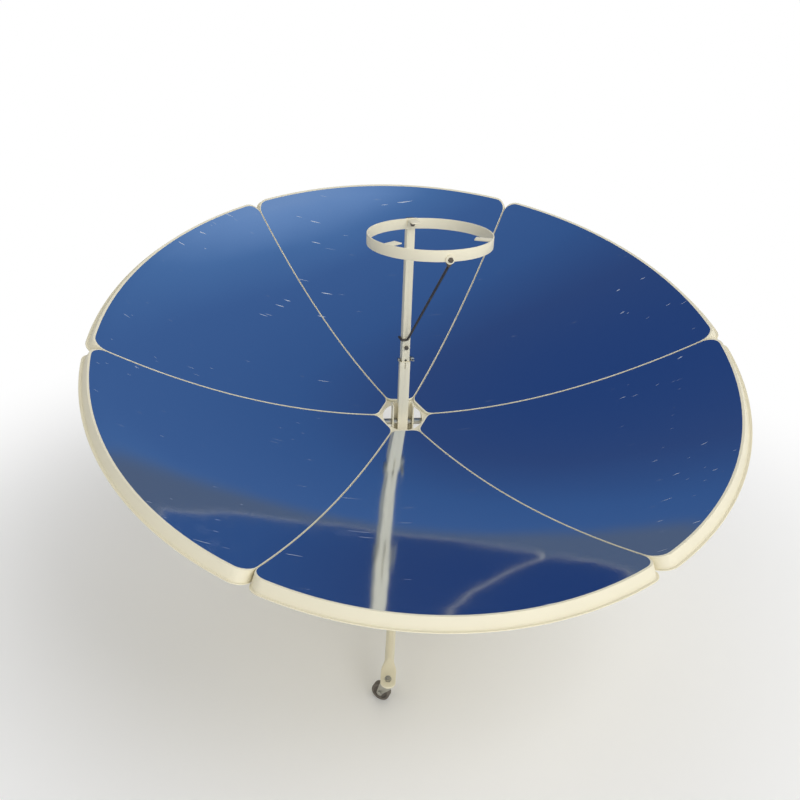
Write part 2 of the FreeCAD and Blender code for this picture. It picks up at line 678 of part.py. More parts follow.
flanges = "(sizes.hub_plate_sheet + sizes.ear_sheet)"
ear_bolt = shape_of(group(hex_bolt("sizes.ear_bolt_radius", flanges),
                          hex_nut("sizes.ear_bolt_radius", flanges)))
places = []
for side in (-1, 1):
    for end in (-1, 1):
        at = Vector(side * value(EAR_BOLT_OUT), end * value("sizes.ear_bolt_spread"), value(HUB_TOP))
        places.append(Placement(at, Rotation(Vector(1, 0, 0), 180)))
spread("ear_bolts", ear_bolt, places, dish_place)

# Head: a channel open to the front, on a round spigot that turns in the column.
COLUMN_TOP = "(sizes.pivot_height - sizes.column_drop)"
FORK_WEB = "(%s + sizes.bush_flange + sizes.side_clearance)" % COLUMN_TOP
FORK_OUTSIDE = "(sizes.fork_inside + sizes.fork_sheet)"
FORK_BACK = "(sizes.post_side / 2 + sizes.touch_gap)"
TILT_BOLT_HEIGHT = "(sizes.pivot_height - sizes.quadrant_radius)"
fork = new_body("head_fork")
profile = new_sketch(fork, "XY_Plane", FORK_WEB)
polygon(profile, [
    ("-" + FORK_OUTSIDE, "-sizes.fork_front"),
    ("-sizes.fork_inside", "-sizes.fork_front"),
    ("-sizes.fork_inside", FORK_BACK),
    ("sizes.fork_inside", FORK_BACK),
    ("sizes.fork_inside", "-sizes.fork_front"),
    (FORK_OUTSIDE, "-sizes.fork_front"),
    (FORK_OUTSIDE, FORK_BACK + " + sizes.fork_sheet"),
    ("-" + FORK_OUTSIDE, FORK_BACK + " + sizes.fork_sheet")])
pad(fork, profile, "sizes.pivot_height + sizes.fork_rise - " + FORK_WEB)
profile = new_sketch(fork, "XY_Plane", FORK_WEB)
rectangle(profile, "-" + FORK_OUTSIDE, FORK_OUTSIDE, "-sizes.fork_front", FORK_BACK + " + sizes.fork_sheet")
pad(fork, profile, "sizes.fork_sheet")
profile = new_sketch(fork, "YZ_Plane")
circle(profile, 0, "sizes.pivot_height", "sizes.pivot_radius + sizes.hole_clearance")
pocket(fork, profile)
profile = new_sketch(fork, "YZ_Plane", "sizes.fork_inside")
circle(profile, 0, TILT_BOLT_HEIGHT, "sizes.tilt_bolt_radius + sizes.hole_clearance")
bolt_hole_cut = fork.newObject("PartDesign::Pocket", "pocket")
bolt_hole_cut.Profile = profile
bolt_hole_cut.Type = "ThroughAll"
bolt_hole_cut.Reversed = True
doc.recompute()
node(fork, "head_fork")

spigot = new_body("head_spigot")
profile = new_sketch(spigot, "XY_Plane", FORK_WEB + " - sizes.spigot_length")
circle(profile, 0, 0, "sizes.spigot_radius")
circle(profile, 0, 0, "sizes.spigot_radius - sizes.spigot_wall")
pad(spigot, profile, "sizes.spigot_length")
node(spigot, "head_spigot")


def cross_bar(radius, start, end, height):
    """A round bar along X at a height above the ground."""
    return cylinder(radius, "(%s) - (%s)" % (end, start), (start, 0, height), "x")


def cross_hex(across_flats, start, end, height):
    return hexagon(across_flats, "(%s) - (%s)" % (end, start), (start, 0, height), "x")


def cross_tube(inner, wall, start, end, height):
    outer = cross_bar("(%s) + (%s)" % (inner, wall), start, end, height)
    return cut(outer, cross_bar(inner, start + BACK, end + AHEAD, height))


# Pivot bolt: through both ears, both cheeks and the post, with its nut and four spacers.
PIVOT_REACH = "(%s + sizes.side_clearance)" % EAR_OUTSIDE
PIVOT_NUT_END = "(%s + %s)" % (PIVOT_REACH, NUT_HEIGHT % "sizes.pivot_radius")
PIVOT_HEAD = "(%s + %s)" % (PIVOT_REACH, HEAD_HEIGHT % "sizes.pivot_radius")
PIVOT_FLATS = ACROSS_FLATS % "sizes.pivot_radius"
pivot_shank = cross_bar("sizes.pivot_radius", "-" + PIVOT_REACH, PIVOT_NUT_END + " + 0.8 * sizes.pivot_radius",
                        "sizes.pivot_height")
pivot_head = cross_hex(PIVOT_FLATS, "-" + PIVOT_HEAD, "-" + PIVOT_REACH, "sizes.pivot_height")
pivot_nut = cut(cross_hex(PIVOT_FLATS, PIVOT_REACH, PIVOT_NUT_END, "sizes.pivot_height"),
                cross_bar("sizes.pivot_radius + sizes.running_fit", PIVOT_REACH + BACK,
                          PIVOT_NUT_END + AHEAD, "sizes.pivot_height"))
node(group(fuse(pivot_shank, pivot_head), pivot_nut), "pivot_bolt")
spacer_bore = "sizes.pivot_radius + sizes.hole_clearance"
spans = [("sizes.post_side / 2", "sizes.fork_inside"),
         (FORK_OUTSIDE, "sizes.ear_inside - sizes.side_clearance")]
spacers = []
for low, high in spans:
    spacers.append(cross_tube(spacer_bore, "sizes.spacer_wall", low, high, "sizes.pivot_height"))
    spacers.append(cross_tube(spacer_bore, "sizes.spacer_wall", "-(%s)" % high, "-(%s)" % low,
                              "sizes.pivot_height"))
node(group(*spacers), "pivot_spacers")

# Tilt clamp: a bolt from the fork through the quadrant's slot, its spacer, and a star knob.
CLAMP_FACE = "(%s + sizes.side_clearance)" % EAR_OUTSIDE
bolt_shank = cross_bar("sizes.tilt_bolt_radius", "sizes.fork_inside" + BACK,
                       CLAMP_FACE + " + 0.7 * sizes.knob_height", TILT_BOLT_HEIGHT)
bolt_head = cross_hex(ACROSS_FLATS % "sizes.tilt_bolt_radius",
                      "sizes.fork_inside - " + HEAD_HEIGHT % "sizes.tilt_bolt_radius", "sizes.fork_inside",
                      TILT_BOLT_HEIGHT)
clamp_spacer = cross_tube("sizes.tilt_bolt_radius + sizes.hole_clearance", "sizes.spacer_wall",
                          FORK_OUTSIDE, "sizes.ear_inside - sizes.side_clearance", TILT_BOLT_HEIGHT)
node(group(fuse(bolt_shank, bolt_head), clamp_spacer), "tilt_bolt")


def star_knob(label, bore, place):
    """A moulded star knob on its collar, the collar's face at the origin, along +Z."""
    body = new_body("knob_blank")
    profile = new_sketch(body, "XZ_Plane")
    polygon(profile, [
        (0, 0),
        ("sizes.knob_radius * 0.45", 0),
        ("sizes.knob_radius * 0.5", "sizes.knob_height * 0.4"),
        ("sizes.knob_radius", "sizes.knob_height * 0.45"),
        ("sizes.knob_radius", "sizes.knob_height * 0.85"),
        ("sizes.knob_radius * 0.8", "sizes.knob_height"),
        (0, "sizes.knob_height")])
    revolve(body, profile)
    profile = new_sketch(body, "XY_Plane")
    circle(profile, "sizes.knob_radius + sizes.knob_lobe_radius * 0.45", 0, "sizes.knob_lobe_radius")
    scallop = pocket(body, profile)
    repeat_round(body, scallop, 6)
    bore_hole = cylinder("%s + sizes.running_fit" % bore, "sizes.knob_height * 0.8 + sizes.cutter_reach",
                         (0, 0, "-sizes.cutter_reach"))
    return node(cut(body, bore_hole), label, place)


knob_at = Vector(value(CLAMP_FACE), 0, value(TILT_BOLT_HEIGHT))
star_knob("tilt_knob", "sizes.tilt_bolt_radius", Placement(knob_at, AXES["x"]))

# Post: the lower square tube stands on the fork, the upper one slides in it.
POST_FOOT = "(%s + sizes.fork_sheet)" % FORK_WEB


def square_tube(label, side, wall, low, high, holes, place=None):
    """A square tube with cross holes, each (plane, height, radius)."""
    body = new_body(label)
    half, bore = "(%s / 2)" % side, "(%s / 2 - %s)" % (side, wall)
    profile = new_sketch(body, "XY_Plane", low)
    rectangle(profile, "-" + half, half, "-" + half, half)
    rectangle(profile, "-" + bore, bore, "-" + bore, bore)
    pad(body, profile, "(%s) - (%s)" % (high, low))
    for role in ("YZ_Plane", "XZ_Plane"):
        chosen = [hole for hole in holes if hole[0] == role]
        if chosen:
            profile = new_sketch(body, role)
            for _, height, radius in chosen:
                circle(profile, 0, height, radius)
            pocket(body, profile)
    return node(body, label, place)


POST_TOP = "(sizes.pivot_height + sizes.post_rise)"
CAP_FOOT = "(sizes.ring_top - 2 * sizes.cap_sheet)"
STOP_HEIGHT = "(%s + sizes.stop_gap + sizes.mast_bolt_radius)" % POST_TOP
BRACE_HOOK = "(%s + sizes.brace_hook_rise)" % POST_TOP
HOOK_BOLT_HEIGHT = "(%s - sizes.hook_bolt_drop)" % BRACE_HOOK
RING_MIDDLE = "(sizes.ring_top - sizes.ring_band / 2)"
bolt_hole = "sizes.mast_bolt_radius + sizes.hole_clearance"


def front_cut(body, side):
    """A sketch in front of a tube and the pocket that opens its front wall only."""
    profile = new_sketch(body, "XZ_Plane", side + " / 2" + AHEAD)
    opening = body.newObject("PartDesign::Pocket", "pocket")
    opening.Profile = profile
    bind(opening, Length="sizes.post_wall + 2 * sizes.cutter_reach")
    return profile


post_lower = square_tube("post_lower", "sizes.post_side", "sizes.post_wall", POST_FOOT, POST_TOP,
                         [("YZ_Plane", "sizes.pivot_height", "sizes.pivot_radius + sizes.hole_clearance")])
rectangle(front_cut(post_lower, "sizes.post_side"), "-sizes.slit_width / 2", "sizes.slit_width / 2",
          POST_TOP + " - sizes.slit_length", POST_TOP + AHEAD)
doc.recompute()
post_upper = square_tube("post_upper", "sizes.mast_side", "sizes.mast_wall", POST_TOP + " - sizes.mast_overlap",
            CAP_FOOT,
            [("YZ_Plane", STOP_HEIGHT, bolt_hole), ("XZ_Plane", HOOK_BOLT_HEIGHT, bolt_hole),
             ("XZ_Plane", RING_MIDDLE, bolt_hole)], mast_place)
circle(front_cut(post_upper, "sizes.mast_side"), 0, STOP_HEIGHT, "sizes.mast_bolt_radius")
doc.recompute()

cap_top = box(("-sizes.mast_side / 2", "sizes.mast_side / 2"), ("-sizes.mast_side / 2", "sizes.mast_side / 2"),
              (CAP_FOOT, CAP_FOOT + " + sizes.cap_sheet"))
plug_half = "(sizes.mast_side / 2 - sizes.mast_wall - sizes.touch_gap)"
cap_plug = box(("-" + plug_half, plug_half), ("-" + plug_half, plug_half),
               ("%s + sizes.mast_bolt_radius + sizes.side_clearance" % RING_MIDDLE, CAP_FOOT))
node(fuse(cap_top, cap_plug), "post_cap", mast_place)

# Height stop: a pin across the upper tube that rests on the lower one, with a wing nut.
MAST_HALF = "(sizes.mast_side / 2)"
PIN_OUT = "(sizes.post_side / 2 + sizes.pin_reach)"
WING_END = "(%s + sizes.wing_depth)" % PIN_OUT
pin_shank = cross_bar("sizes.mast_bolt_radius", "-" + PIN_OUT, WING_END + " + sizes.mast_bolt_radius",
                      STOP_HEIGHT)
pin_head = cross_bar("1.6 * sizes.mast_bolt_radius", "-%s - sizes.mast_bolt_radius" % PIN_OUT, "-" + PIN_OUT,
                     STOP_HEIGHT)
node(fuse(pin_shank, pin_head), "stop_pin", mast_place)
wing_hub = cross_bar("2 * sizes.mast_bolt_radius", PIN_OUT, WING_END, STOP_HEIGHT)
wings = box((PIN_OUT + " + sizes.wing_depth / 5", WING_END), ("-sizes.wing_span / 2", "sizes.wing_span / 2"),
            (STOP_HEIGHT + " - sizes.wing_sheet / 2", STOP_HEIGHT + " + sizes.wing_sheet / 2"))
pin_bore = cross_bar("sizes.mast_bolt_radius + sizes.running_fit", PIN_OUT + BACK, WING_END + AHEAD,
                     STOP_HEIGHT)
node(cut(fuse(wing_hub, wings), pin_bore), "stop_wing_nut", mast_place)

def through_bolt(radius, start, end, height):
    """A bolt along +Y whose head lies before start and whose nut lies after end."""
    head, nut, flats = HEAD_HEIGHT % radius, NUT_HEIGHT % radius, ACROSS_FLATS % radius
    shank = cylinder(radius, "(%s) - (%s) + 2.4 * %s" % (end, start, radius), (0, start, height), "y")
    cap = hexagon(flats, head, (0, "(%s) - %s" % (start, head), height), "y")
    hole = cylinder("%s + sizes.running_fit" % radius, nut + " + 2 * sizes.cutter_reach",
                    (0, "(%s)" % end + BACK, height), "y")
    return group(fuse(shank, cap), cut(hexagon(flats, nut, (0, end, height), "y"), hole))


# Hook bolt: through the upper tube under the hook of the brace.
node(through_bolt("sizes.mast_bolt_radius", "-" + MAST_HALF, MAST_HALF, HOOK_BOLT_HEIGHT), "hook_bolt",
     mast_place)

# Pot ring: a rolled band carried in front of the upper tube, with three tabs for the pot.
RING_OUT = "(%s + sizes.saddle_sheet + sizes.ring_radius)" % MAST_HALF
RING_FOOT = "(sizes.ring_top - sizes.ring_band)"
BRACE_BOLT_HEIGHT = "(%s + sizes.brace_bolt_rise)" % RING_FOOT
RING_INSIDE = "(sizes.ring_radius - sizes.ring_sheet)"
TAB_OUT = "(sqrt(%s^2 - (sizes.tab_width / 2)^2) - sizes.touch_gap)" % RING_INSIDE
RING_FRONT = "(%s + sizes.ring_radius)" % RING_OUT
tab_angles = [60 + 120 * index for index in range(3)]


def about_ring(angle):
    """Turns a shape about the ring's axis; the front is at zero."""
    centre = Vector(0, -value(RING_OUT), 0)
    turn = Placement(centre, Rotation(Vector(0, 0, 1), angle))
    return turn.multiply(Placement(centre.negative(), Rotation()))


def ring_hole(angle, height):
    """A bolt hole square to the band."""
    start = "-%s - 3 * sizes.ring_sheet" % RING_FRONT
    tool = shape_of(cylinder(bolt_hole, "sizes.ring_radius", (0, start, height), "y"))
    tool.Placement = about_ring(angle).multiply(tool.Placement)
    return tool


ring_at = (0, "-" + RING_OUT, RING_FOOT)
band_shape = shape_of(cut(cylinder("sizes.ring_radius", "sizes.ring_band", ring_at),
                          cylinder(RING_INSIDE, "sizes.ring_band", ring_at)))
band_shape = band_shape.cut(ring_hole(180, RING_MIDDLE))
feature("pot_ring", band_shape.cut(ring_hole(0, BRACE_BOLT_HEIGHT)), mast_place)

TAB_TOP = "(sizes.ring_top - sizes.tab_drop)"
leg_plate = box(("-sizes.tab_width / 2", "sizes.tab_width / 2"),
                ("-%s - %s" % (RING_OUT, TAB_OUT), "-%s - %s + sizes.tab_sheet" % (RING_OUT, TAB_OUT)),
                (TAB_TOP + " - sizes.tab_leg", TAB_TOP))
tongue = box(("-sizes.tab_width / 2", "sizes.tab_width / 2"),
             ("-%s - %s" % (RING_OUT, TAB_OUT), "-%s - %s + sizes.tab_reach" % (RING_OUT, TAB_OUT)),
             (TAB_TOP + " - sizes.tab_sheet", TAB_TOP))
tab = shape_of(fuse(leg_plate, tongue))
tabs = [tab.copy() for angle in tab_angles]
for tab, angle in zip(tabs, tab_angles):
    tab.Placement = about_ring(angle)
tabs[1] = tabs[1].cut(ring_hole(180, RING_MIDDLE))
feature("pot_tabs", Part.makeCompound(tabs), mast_place)

saddle_half = "(sizes.mast_side / 2 + sizes.ring_sheet)"
saddle_block = box(("-" + saddle_half, saddle_half),
                   ("-%s - 4 * sizes.saddle_sheet" % MAST_HALF, "-%s - sizes.touch_gap / 2" % MAST_HALF),
                   (RING_FOOT, "sizes.ring_top"))
saddle = cut(saddle_block, cylinder("sizes.ring_radius + sizes.touch_gap / 2", "sizes.ring_band", ring_at),
             cylinder(bolt_hole, "sizes.ring_radius", (0, "-sizes.ring_radius", RING_MIDDLE), "y"))
node(saddle, "ring_saddle", mast_place)

node(through_bolt("sizes.mast_bolt_radius", "-%s + %s - sizes.tab_sheet" % (RING_OUT, TAB_OUT), MAST_HALF,
                  RING_MIDDLE), "ring_bolt", mast_place)


def disc(centre, along, radius):
    """The cross-section of a bar."""
    return Part.Face(Part.Wire([Part.makeCircle(radius, centre, along)]))


def bent_bar(points, bend, radius):
    """A round bar through the points, each corner bent to the bend radius."""
    runs = []
    start = points[0]
    for before, corner, after in zip(points, points[1:], points[2:]):
        back = (before - corner).normalize()
        ahead = (after - corner).normalize()
        half = back.getAngle(ahead) / 2
        first = corner + back * (bend / math.tan(half))
        centre = corner + (back + ahead).normalize() * (bend / math.sin(half))
        travel = first - start
        runs.append(disc(start, travel, radius).extrude(travel))
        turn = 180 - 2 * math.degrees(half)
        runs.append(disc(first, travel, radius).revolve(centre, travel.cross(ahead), turn))
        start = corner + ahead * (bend / math.tan(half))
    runs.append(disc(start, points[-1] - start, radius).extrude(points[-1] - start))
    return runs[0].fuse(runs[1:]).removeSplitter()


# Brace: a round bar from the ring's front down to the tube, flattened to an eye at the top.
EYE_FACE = "(-%s + sizes.ring_sheet + 3 * sizes.touch_gap)" % RING_FRONT
EYE_BACK = "(%s + sizes.brace_radius)" % EYE_FACE
eye = cylinder("sizes.eye_radius", "sizes.brace_radius", (0, EYE_FACE, BRACE_BOLT_HEIGHT), "y")
strap = box(("-0.8 * sizes.eye_radius", "0.8 * sizes.eye_radius"), (EYE_FACE, EYE_BACK),
            (BRACE_BOLT_HEIGHT + " - sizes.eye_strap", BRACE_BOLT_HEIGHT))
eye_hole = cylinder(bolt_hole, "5 * sizes.brace_radius", (0, EYE_FACE + " - 2 * sizes.brace_radius",
                                                          BRACE_BOLT_HEIGHT), "y")
eye_shape = shape_of(cut(fuse(eye, strap), eye_hole))
rod = value("sizes.brace_radius")
off = value("sizes.mast_side / 2 + sizes.brace_radius + 3 * sizes.side_clearance")
hook = value(BRACE_HOOK)
strap_end = value("%s - sizes.eye_strap + sizes.brace_radius / 2" % BRACE_BOLT_HEIGHT)
brace_points = [Vector(0, value(EYE_BACK), strap_end),
                Vector(off, -off, hook), Vector(-off, -off, hook), Vector(-off, off - rod, hook)]
brace_shape = bent_bar(brace_points, 1.6 * rod, rod).fuse(eye_shape)
feature("brace_rod", brace_shape.removeSplitter(), mast_place)

# Boss: a round disc under the head of the brace bolt.
BOSS_FACE = "(-%s - sizes.boss_depth - 2 * sizes.touch_gap)" % RING_FRONT
boss = cylinder("sizes.boss_radius", "sizes.boss_depth", (0, BOSS_FACE, BRACE_BOLT_HEIGHT), "y")
boss_hole = cylinder(bolt_hole, "3 * sizes.boss_depth", (0, BOSS_FACE + " - sizes.boss_depth",
                                                         BRACE_BOLT_HEIGHT), "y")
node(cut(boss, boss_hole), "brace_boss", mast_place)
node(through_bolt("sizes.mast_bolt_radius", BOSS_FACE, EYE_BACK, BRACE_BOLT_HEIGHT), "brace_bolt", mast_place)

# Column: a round tube on the base plates, with a flanged plastic bush for the spigot.
COLUMN_BORE = "(sizes.column_radius - sizes.column_wall)"
SWIVEL_SCREW = "(%s - sizes.swivel_screw_drop)" % COLUMN_TOP
SCREW_BORE = "sizes.tilt_bolt_radius + sizes.running_fit"
screw_turn = turned(50)
column_length = "%s - sizes.column_foot" % COLUMN_TOP
column_tube = cut(cylinder("sizes.column_radius", column_length, (0, 0, "sizes.column_foot")),
                  cylinder(COLUMN_BORE, column_length, (0, 0, "sizes.column_foot")),
                  cylinder(SCREW_BORE, "1.5 * sizes.column_radius",
                           (0, "-1.5 * sizes.column_radius", SWIVEL_SCREW), "y"))
node(column_tube, "column", screw_turn)
bush_outer = cylinder(COLUMN_BORE + " - sizes.touch_gap / 2", "sizes.bush_depth",
                      (0, 0, COLUMN_TOP + " - sizes.bush_depth"))
bush_rim = cylinder("sizes.column_radius", "sizes.bush_flange", (0, 0, COLUMN_TOP))
bush_bore = cylinder("sizes.spigot_radius + sizes.running_fit",
                     "sizes.bush_depth + sizes.bush_flange + 2 * sizes.cutter_reach",
                     (0, 0, COLUMN_TOP + " - sizes.bush_depth" + BACK))
node(cut(fuse(bush_outer, bush_rim), bush_bore), "column_bush")

# Swivel clamp: a star-knobbed screw through a nut welded on the column.
NUT_SEAT = "(-sizes.column_radius - sizes.touch_gap)"
NUT_FACE = "(%s - sizes.weld_nut_depth)" % NUT_SEAT
weld_nut = cut(hexagon(ACROSS_FLATS % "sizes.tilt_bolt_radius", "1.2 * sizes.weld_nut_depth",
                       (0, NUT_FACE, SWIVEL_SCREW), "y"),
               cylinder("sizes.column_radius + sizes.touch_gap / 2", "2 * sizes.column_radius",
                        (0, 0, SWIVEL_SCREW + " - sizes.column_radius")),
               cylinder(SCREW_BORE, "2 * sizes.weld_nut_depth", (0, NUT_FACE + BACK, SWIVEL_SCREW), "y"))
node(weld_nut, "swivel_nut", screw_turn)
KNOB_SEAT = "(%s - sizes.side_clearance - sizes.screw_collar)" % NUT_FACE
SCREW_OUTER = "(%s - sizes.knob_height * 0.6)" % KNOB_SEAT
swivel_shank = cylinder("sizes.tilt_bolt_radius",
                        "-sizes.spigot_radius - sizes.side_clearance - " + SCREW_OUTER,
                        (0, SCREW_OUTER, SWIVEL_SCREW), "y")
swivel_collar = cylinder("1.7 * sizes.tilt_bolt_radius", "sizes.screw_collar",
                         (0, KNOB_SEAT, SWIVEL_SCREW), "y")
node(fuse(swivel_shank, swivel_collar), "swivel_screw", screw_turn)
knob_at = Placement(Vector(0, value(KNOB_SEAT), value(SWIVEL_SCREW)), Rotation(Vector(1, 0, 0), 90))
star_knob("swivel_knob", "sizes.tilt_bolt_radius", screw_turn.multiply(knob_at))

# Base: three bent legs between two star-shaped plates.
leg_places = [turned(value("sizes.leg_turn") + 120 * index) for index in range(3)]


def base_plate(label, low):
    body = new_body(label)
    profile = new_sketch(body, "XY_Plane", low)
    circle(profile, 0, 0, "sizes.plate_radius")
    pad(body, profile, "sizes.plate_sheet")
    profile = new_sketch(body, "XY_Plane", low)
    rectangle(profile, "-sizes.plate_arm_width / 2", "sizes.plate_arm_width / 2", "-sizes.plate_arm_out", 0)
    arm = pad(body, profile, "sizes.plate_sheet")
    repeat_round(body, arm, 3)
    profile = new_sketch(body, "XY_Plane", low)
    circle(profile, 0, "-sizes.plate_arm_out", "sizes.plate_arm_width / 2")
    arm_end = pad(body, profile, "sizes.plate_sheet")
    repeat_round(body, arm_end, 3)
    profile = new_sketch(body, "XY_Plane")
    circle(profile, 0, 0, "sizes.column_radius + sizes.touch_gap")
    pocket(body, profile)
    profile = new_sketch(body, "XY_Plane")
    for out in ("in", "out"):
        circle(profile, 0, "-sizes.plate_arm_" + out, "sizes.leg_bolt_radius + sizes.hole_clearance")
    bolt_holes = pocket(body, profile)
    repeat_round(body, bolt_holes, 3)
    return node(body, label, leg_places[0])


LEG_TOP = "(sizes.leg_height + sizes.leg_radius + sizes.touch_gap)"
base_plate("base_plate_upper", LEG_TOP)
base_plate("base_plate_lower", "sizes.leg_height - sizes.leg_radius - sizes.touch_gap - sizes.plate_sheet")


def section(out, height, half_width, half_height, round_part):
    """A closed outline across a leg: two end arcs joined by a top and a bottom."""
    side = half_width - round_part * half_height
    rise = half_height if round_part == 1 else half_height * 0.5
    top_left, top_right = Vector(-side, out, height + rise), Vector(side, out, height + rise)
    low_left, low_right = Vector(-side, out, height - rise), Vector(side, out, height - rise)
    right = Part.Arc(low_right, Vector(half_width, out, height), top_right).toShape()
    left = Part.Arc(top_left, Vector(-half_width, out, height), low_left).toShape()
    if round_part == 1:
        return Part.Wire([right, Part.makeLine(top_right, top_left), left, Part.makeLine(low_left, low_right)])
    top = Part.Arc(top_right, Vector(0, out, height + half_height), top_left).toShape()
    low = Part.Arc(low_left, Vector(0, out, height - half_height), low_right).toShape()
    return Part.Wire([right, top, left, low])


def leg_shape():
    """A bent tube along -Y whose outer end is squeezed flat for the caster."""
    radius = value("sizes.leg_radius")
    bore = radius - value("sizes.leg_wall")
    high, low = value("sizes.leg_height"), value("sizes.foot_height")
    bend = value("sizes.leg_bend_radius")
    bend_out, foot_bend = value("sizes.leg_bend_out"), value("sizes.foot_bend_out")
    slope = math.atan2(high - low, foot_bend - bend_out)
    round_end = foot_bend + bend * math.tan(slope / 2) + value("sizes.touch_gap")
    points = [Vector(0, -value("sizes.leg_start"), high), Vector(0, -bend_out, high),
              Vector(0, -foot_bend, low), Vector(0, -round_end, low)]
    tube = bent_bar(points, bend, radius).cut(bent_bar(points, bend, bore))
    half_width, half_sheet = value("sizes.foot_width / 2"), value("sizes.foot_sheet / 2")
    flat_start, end = value("sizes.foot_flat_out"), value("sizes.foot_end_out")
    squeeze = Part.makeLoft([section(-round_end, low, radius, radius, 1 - math.cos(math.radians(30))),
                             section(-flat_start, low, half_width, half_sheet, 1)], True, True)
    flat_section = Part.Face(section(-flat_start, low, half_width, half_sheet, 1))
    flat = flat_section.extrude(Vector(0, flat_start - end, 0))
    reach = 2 * radius
    corner = Part.makeCylinder(half_width, 2 * reach, Vector(0, half_width - end, low - reach))
    keep = Part.makeBox(2 * half_width, end - half_width - flat_start + radius, 2 * reach,
                        Vector(-half_width, half_width - end, low - reach))
    leg = tube.fuse(squeeze).fuse(flat.common(corner.fuse(keep)))
    holes = [(value("sizes.foot_bolt_out"), value("sizes.stem_radius"), low),
             (value("sizes.plate_arm_in"), value("sizes.leg_bolt_radius"), high),
             (value("sizes.plate_arm_out"), value("sizes.leg_bolt_radius"), high)]
    for out, hole, height in holes:
        base = Vector(0, -out, height - reach)
        leg = leg.cut(Part.makeCylinder(hole + value("sizes.hole_clearance"), 2 * reach, base))
    return leg


leg = leg_shape()
for index, place in enumerate(leg_places, 1):
    feature("leg_%d" % index, leg, place)

GRIP = "(2 * sizes.leg_radius + 2 * sizes.touch_gap + 2 * sizes.plate_sheet)"
leg_bolt = shape_of(group(hex_bolt("sizes.leg_bolt_radius", GRIP), hex_nut("sizes.leg_bolt_radius", GRIP)))
bolt_head_at = value(LEG_TOP + " + sizes.plate_sheet")
places = []
for place in leg_places:
    for out in ("in", "out"):
        at = Vector(0, -value("sizes.plate_arm_" + out), bolt_head_at)
        places.append(place.multiply(Placement(at, Rotation(Vector(1, 0, 0), 180))))
spread("leg_bolts", leg_bolt, places)

# Casters: a stem bolted through each foot, a fork that swivels on it, a wheel and its axle.
CROWN_TOP = "(sizes.caster_crown + sizes.caster_sheet)"
FOOT_TOP = "(sizes.foot_height + sizes.foot_sheet / 2)"
STEM_RIVET = "(sizes.caster_crown - sizes.side_clearance)"
RACE_FOOT = "(%s + sizes.side_clearance)" % CROWN_TOP
stem = fuse(cylinder("sizes.stem_radius", "%s + 2.4 * sizes.stem_radius - %s" % (FOOT_TOP, STEM_RIVET),
                     (0, 0, STEM_RIVET)),
            cylinder("sizes.race_radius", "sizes.foot_height - sizes.foot_sheet / 2 - " + RACE_FOOT,
                     (0, 0, RACE_FOOT)),
            cylinder("1.6 * sizes.stem_radius", "sizes.caster_sheet",
                     (0, 0, STEM_RIVET + " - sizes.caster_sheet")))
stem_nut = hex_nut("sizes.stem_radius", FOOT_TOP)
stem_shape = shape_of(group(stem, stem_nut))
foot_places = [place.multiply(turned(0, at=(0, -value("sizes.foot_bolt_out"), 0))) for place in leg_places]
spread("caster_stems", stem_shape, foot_places)

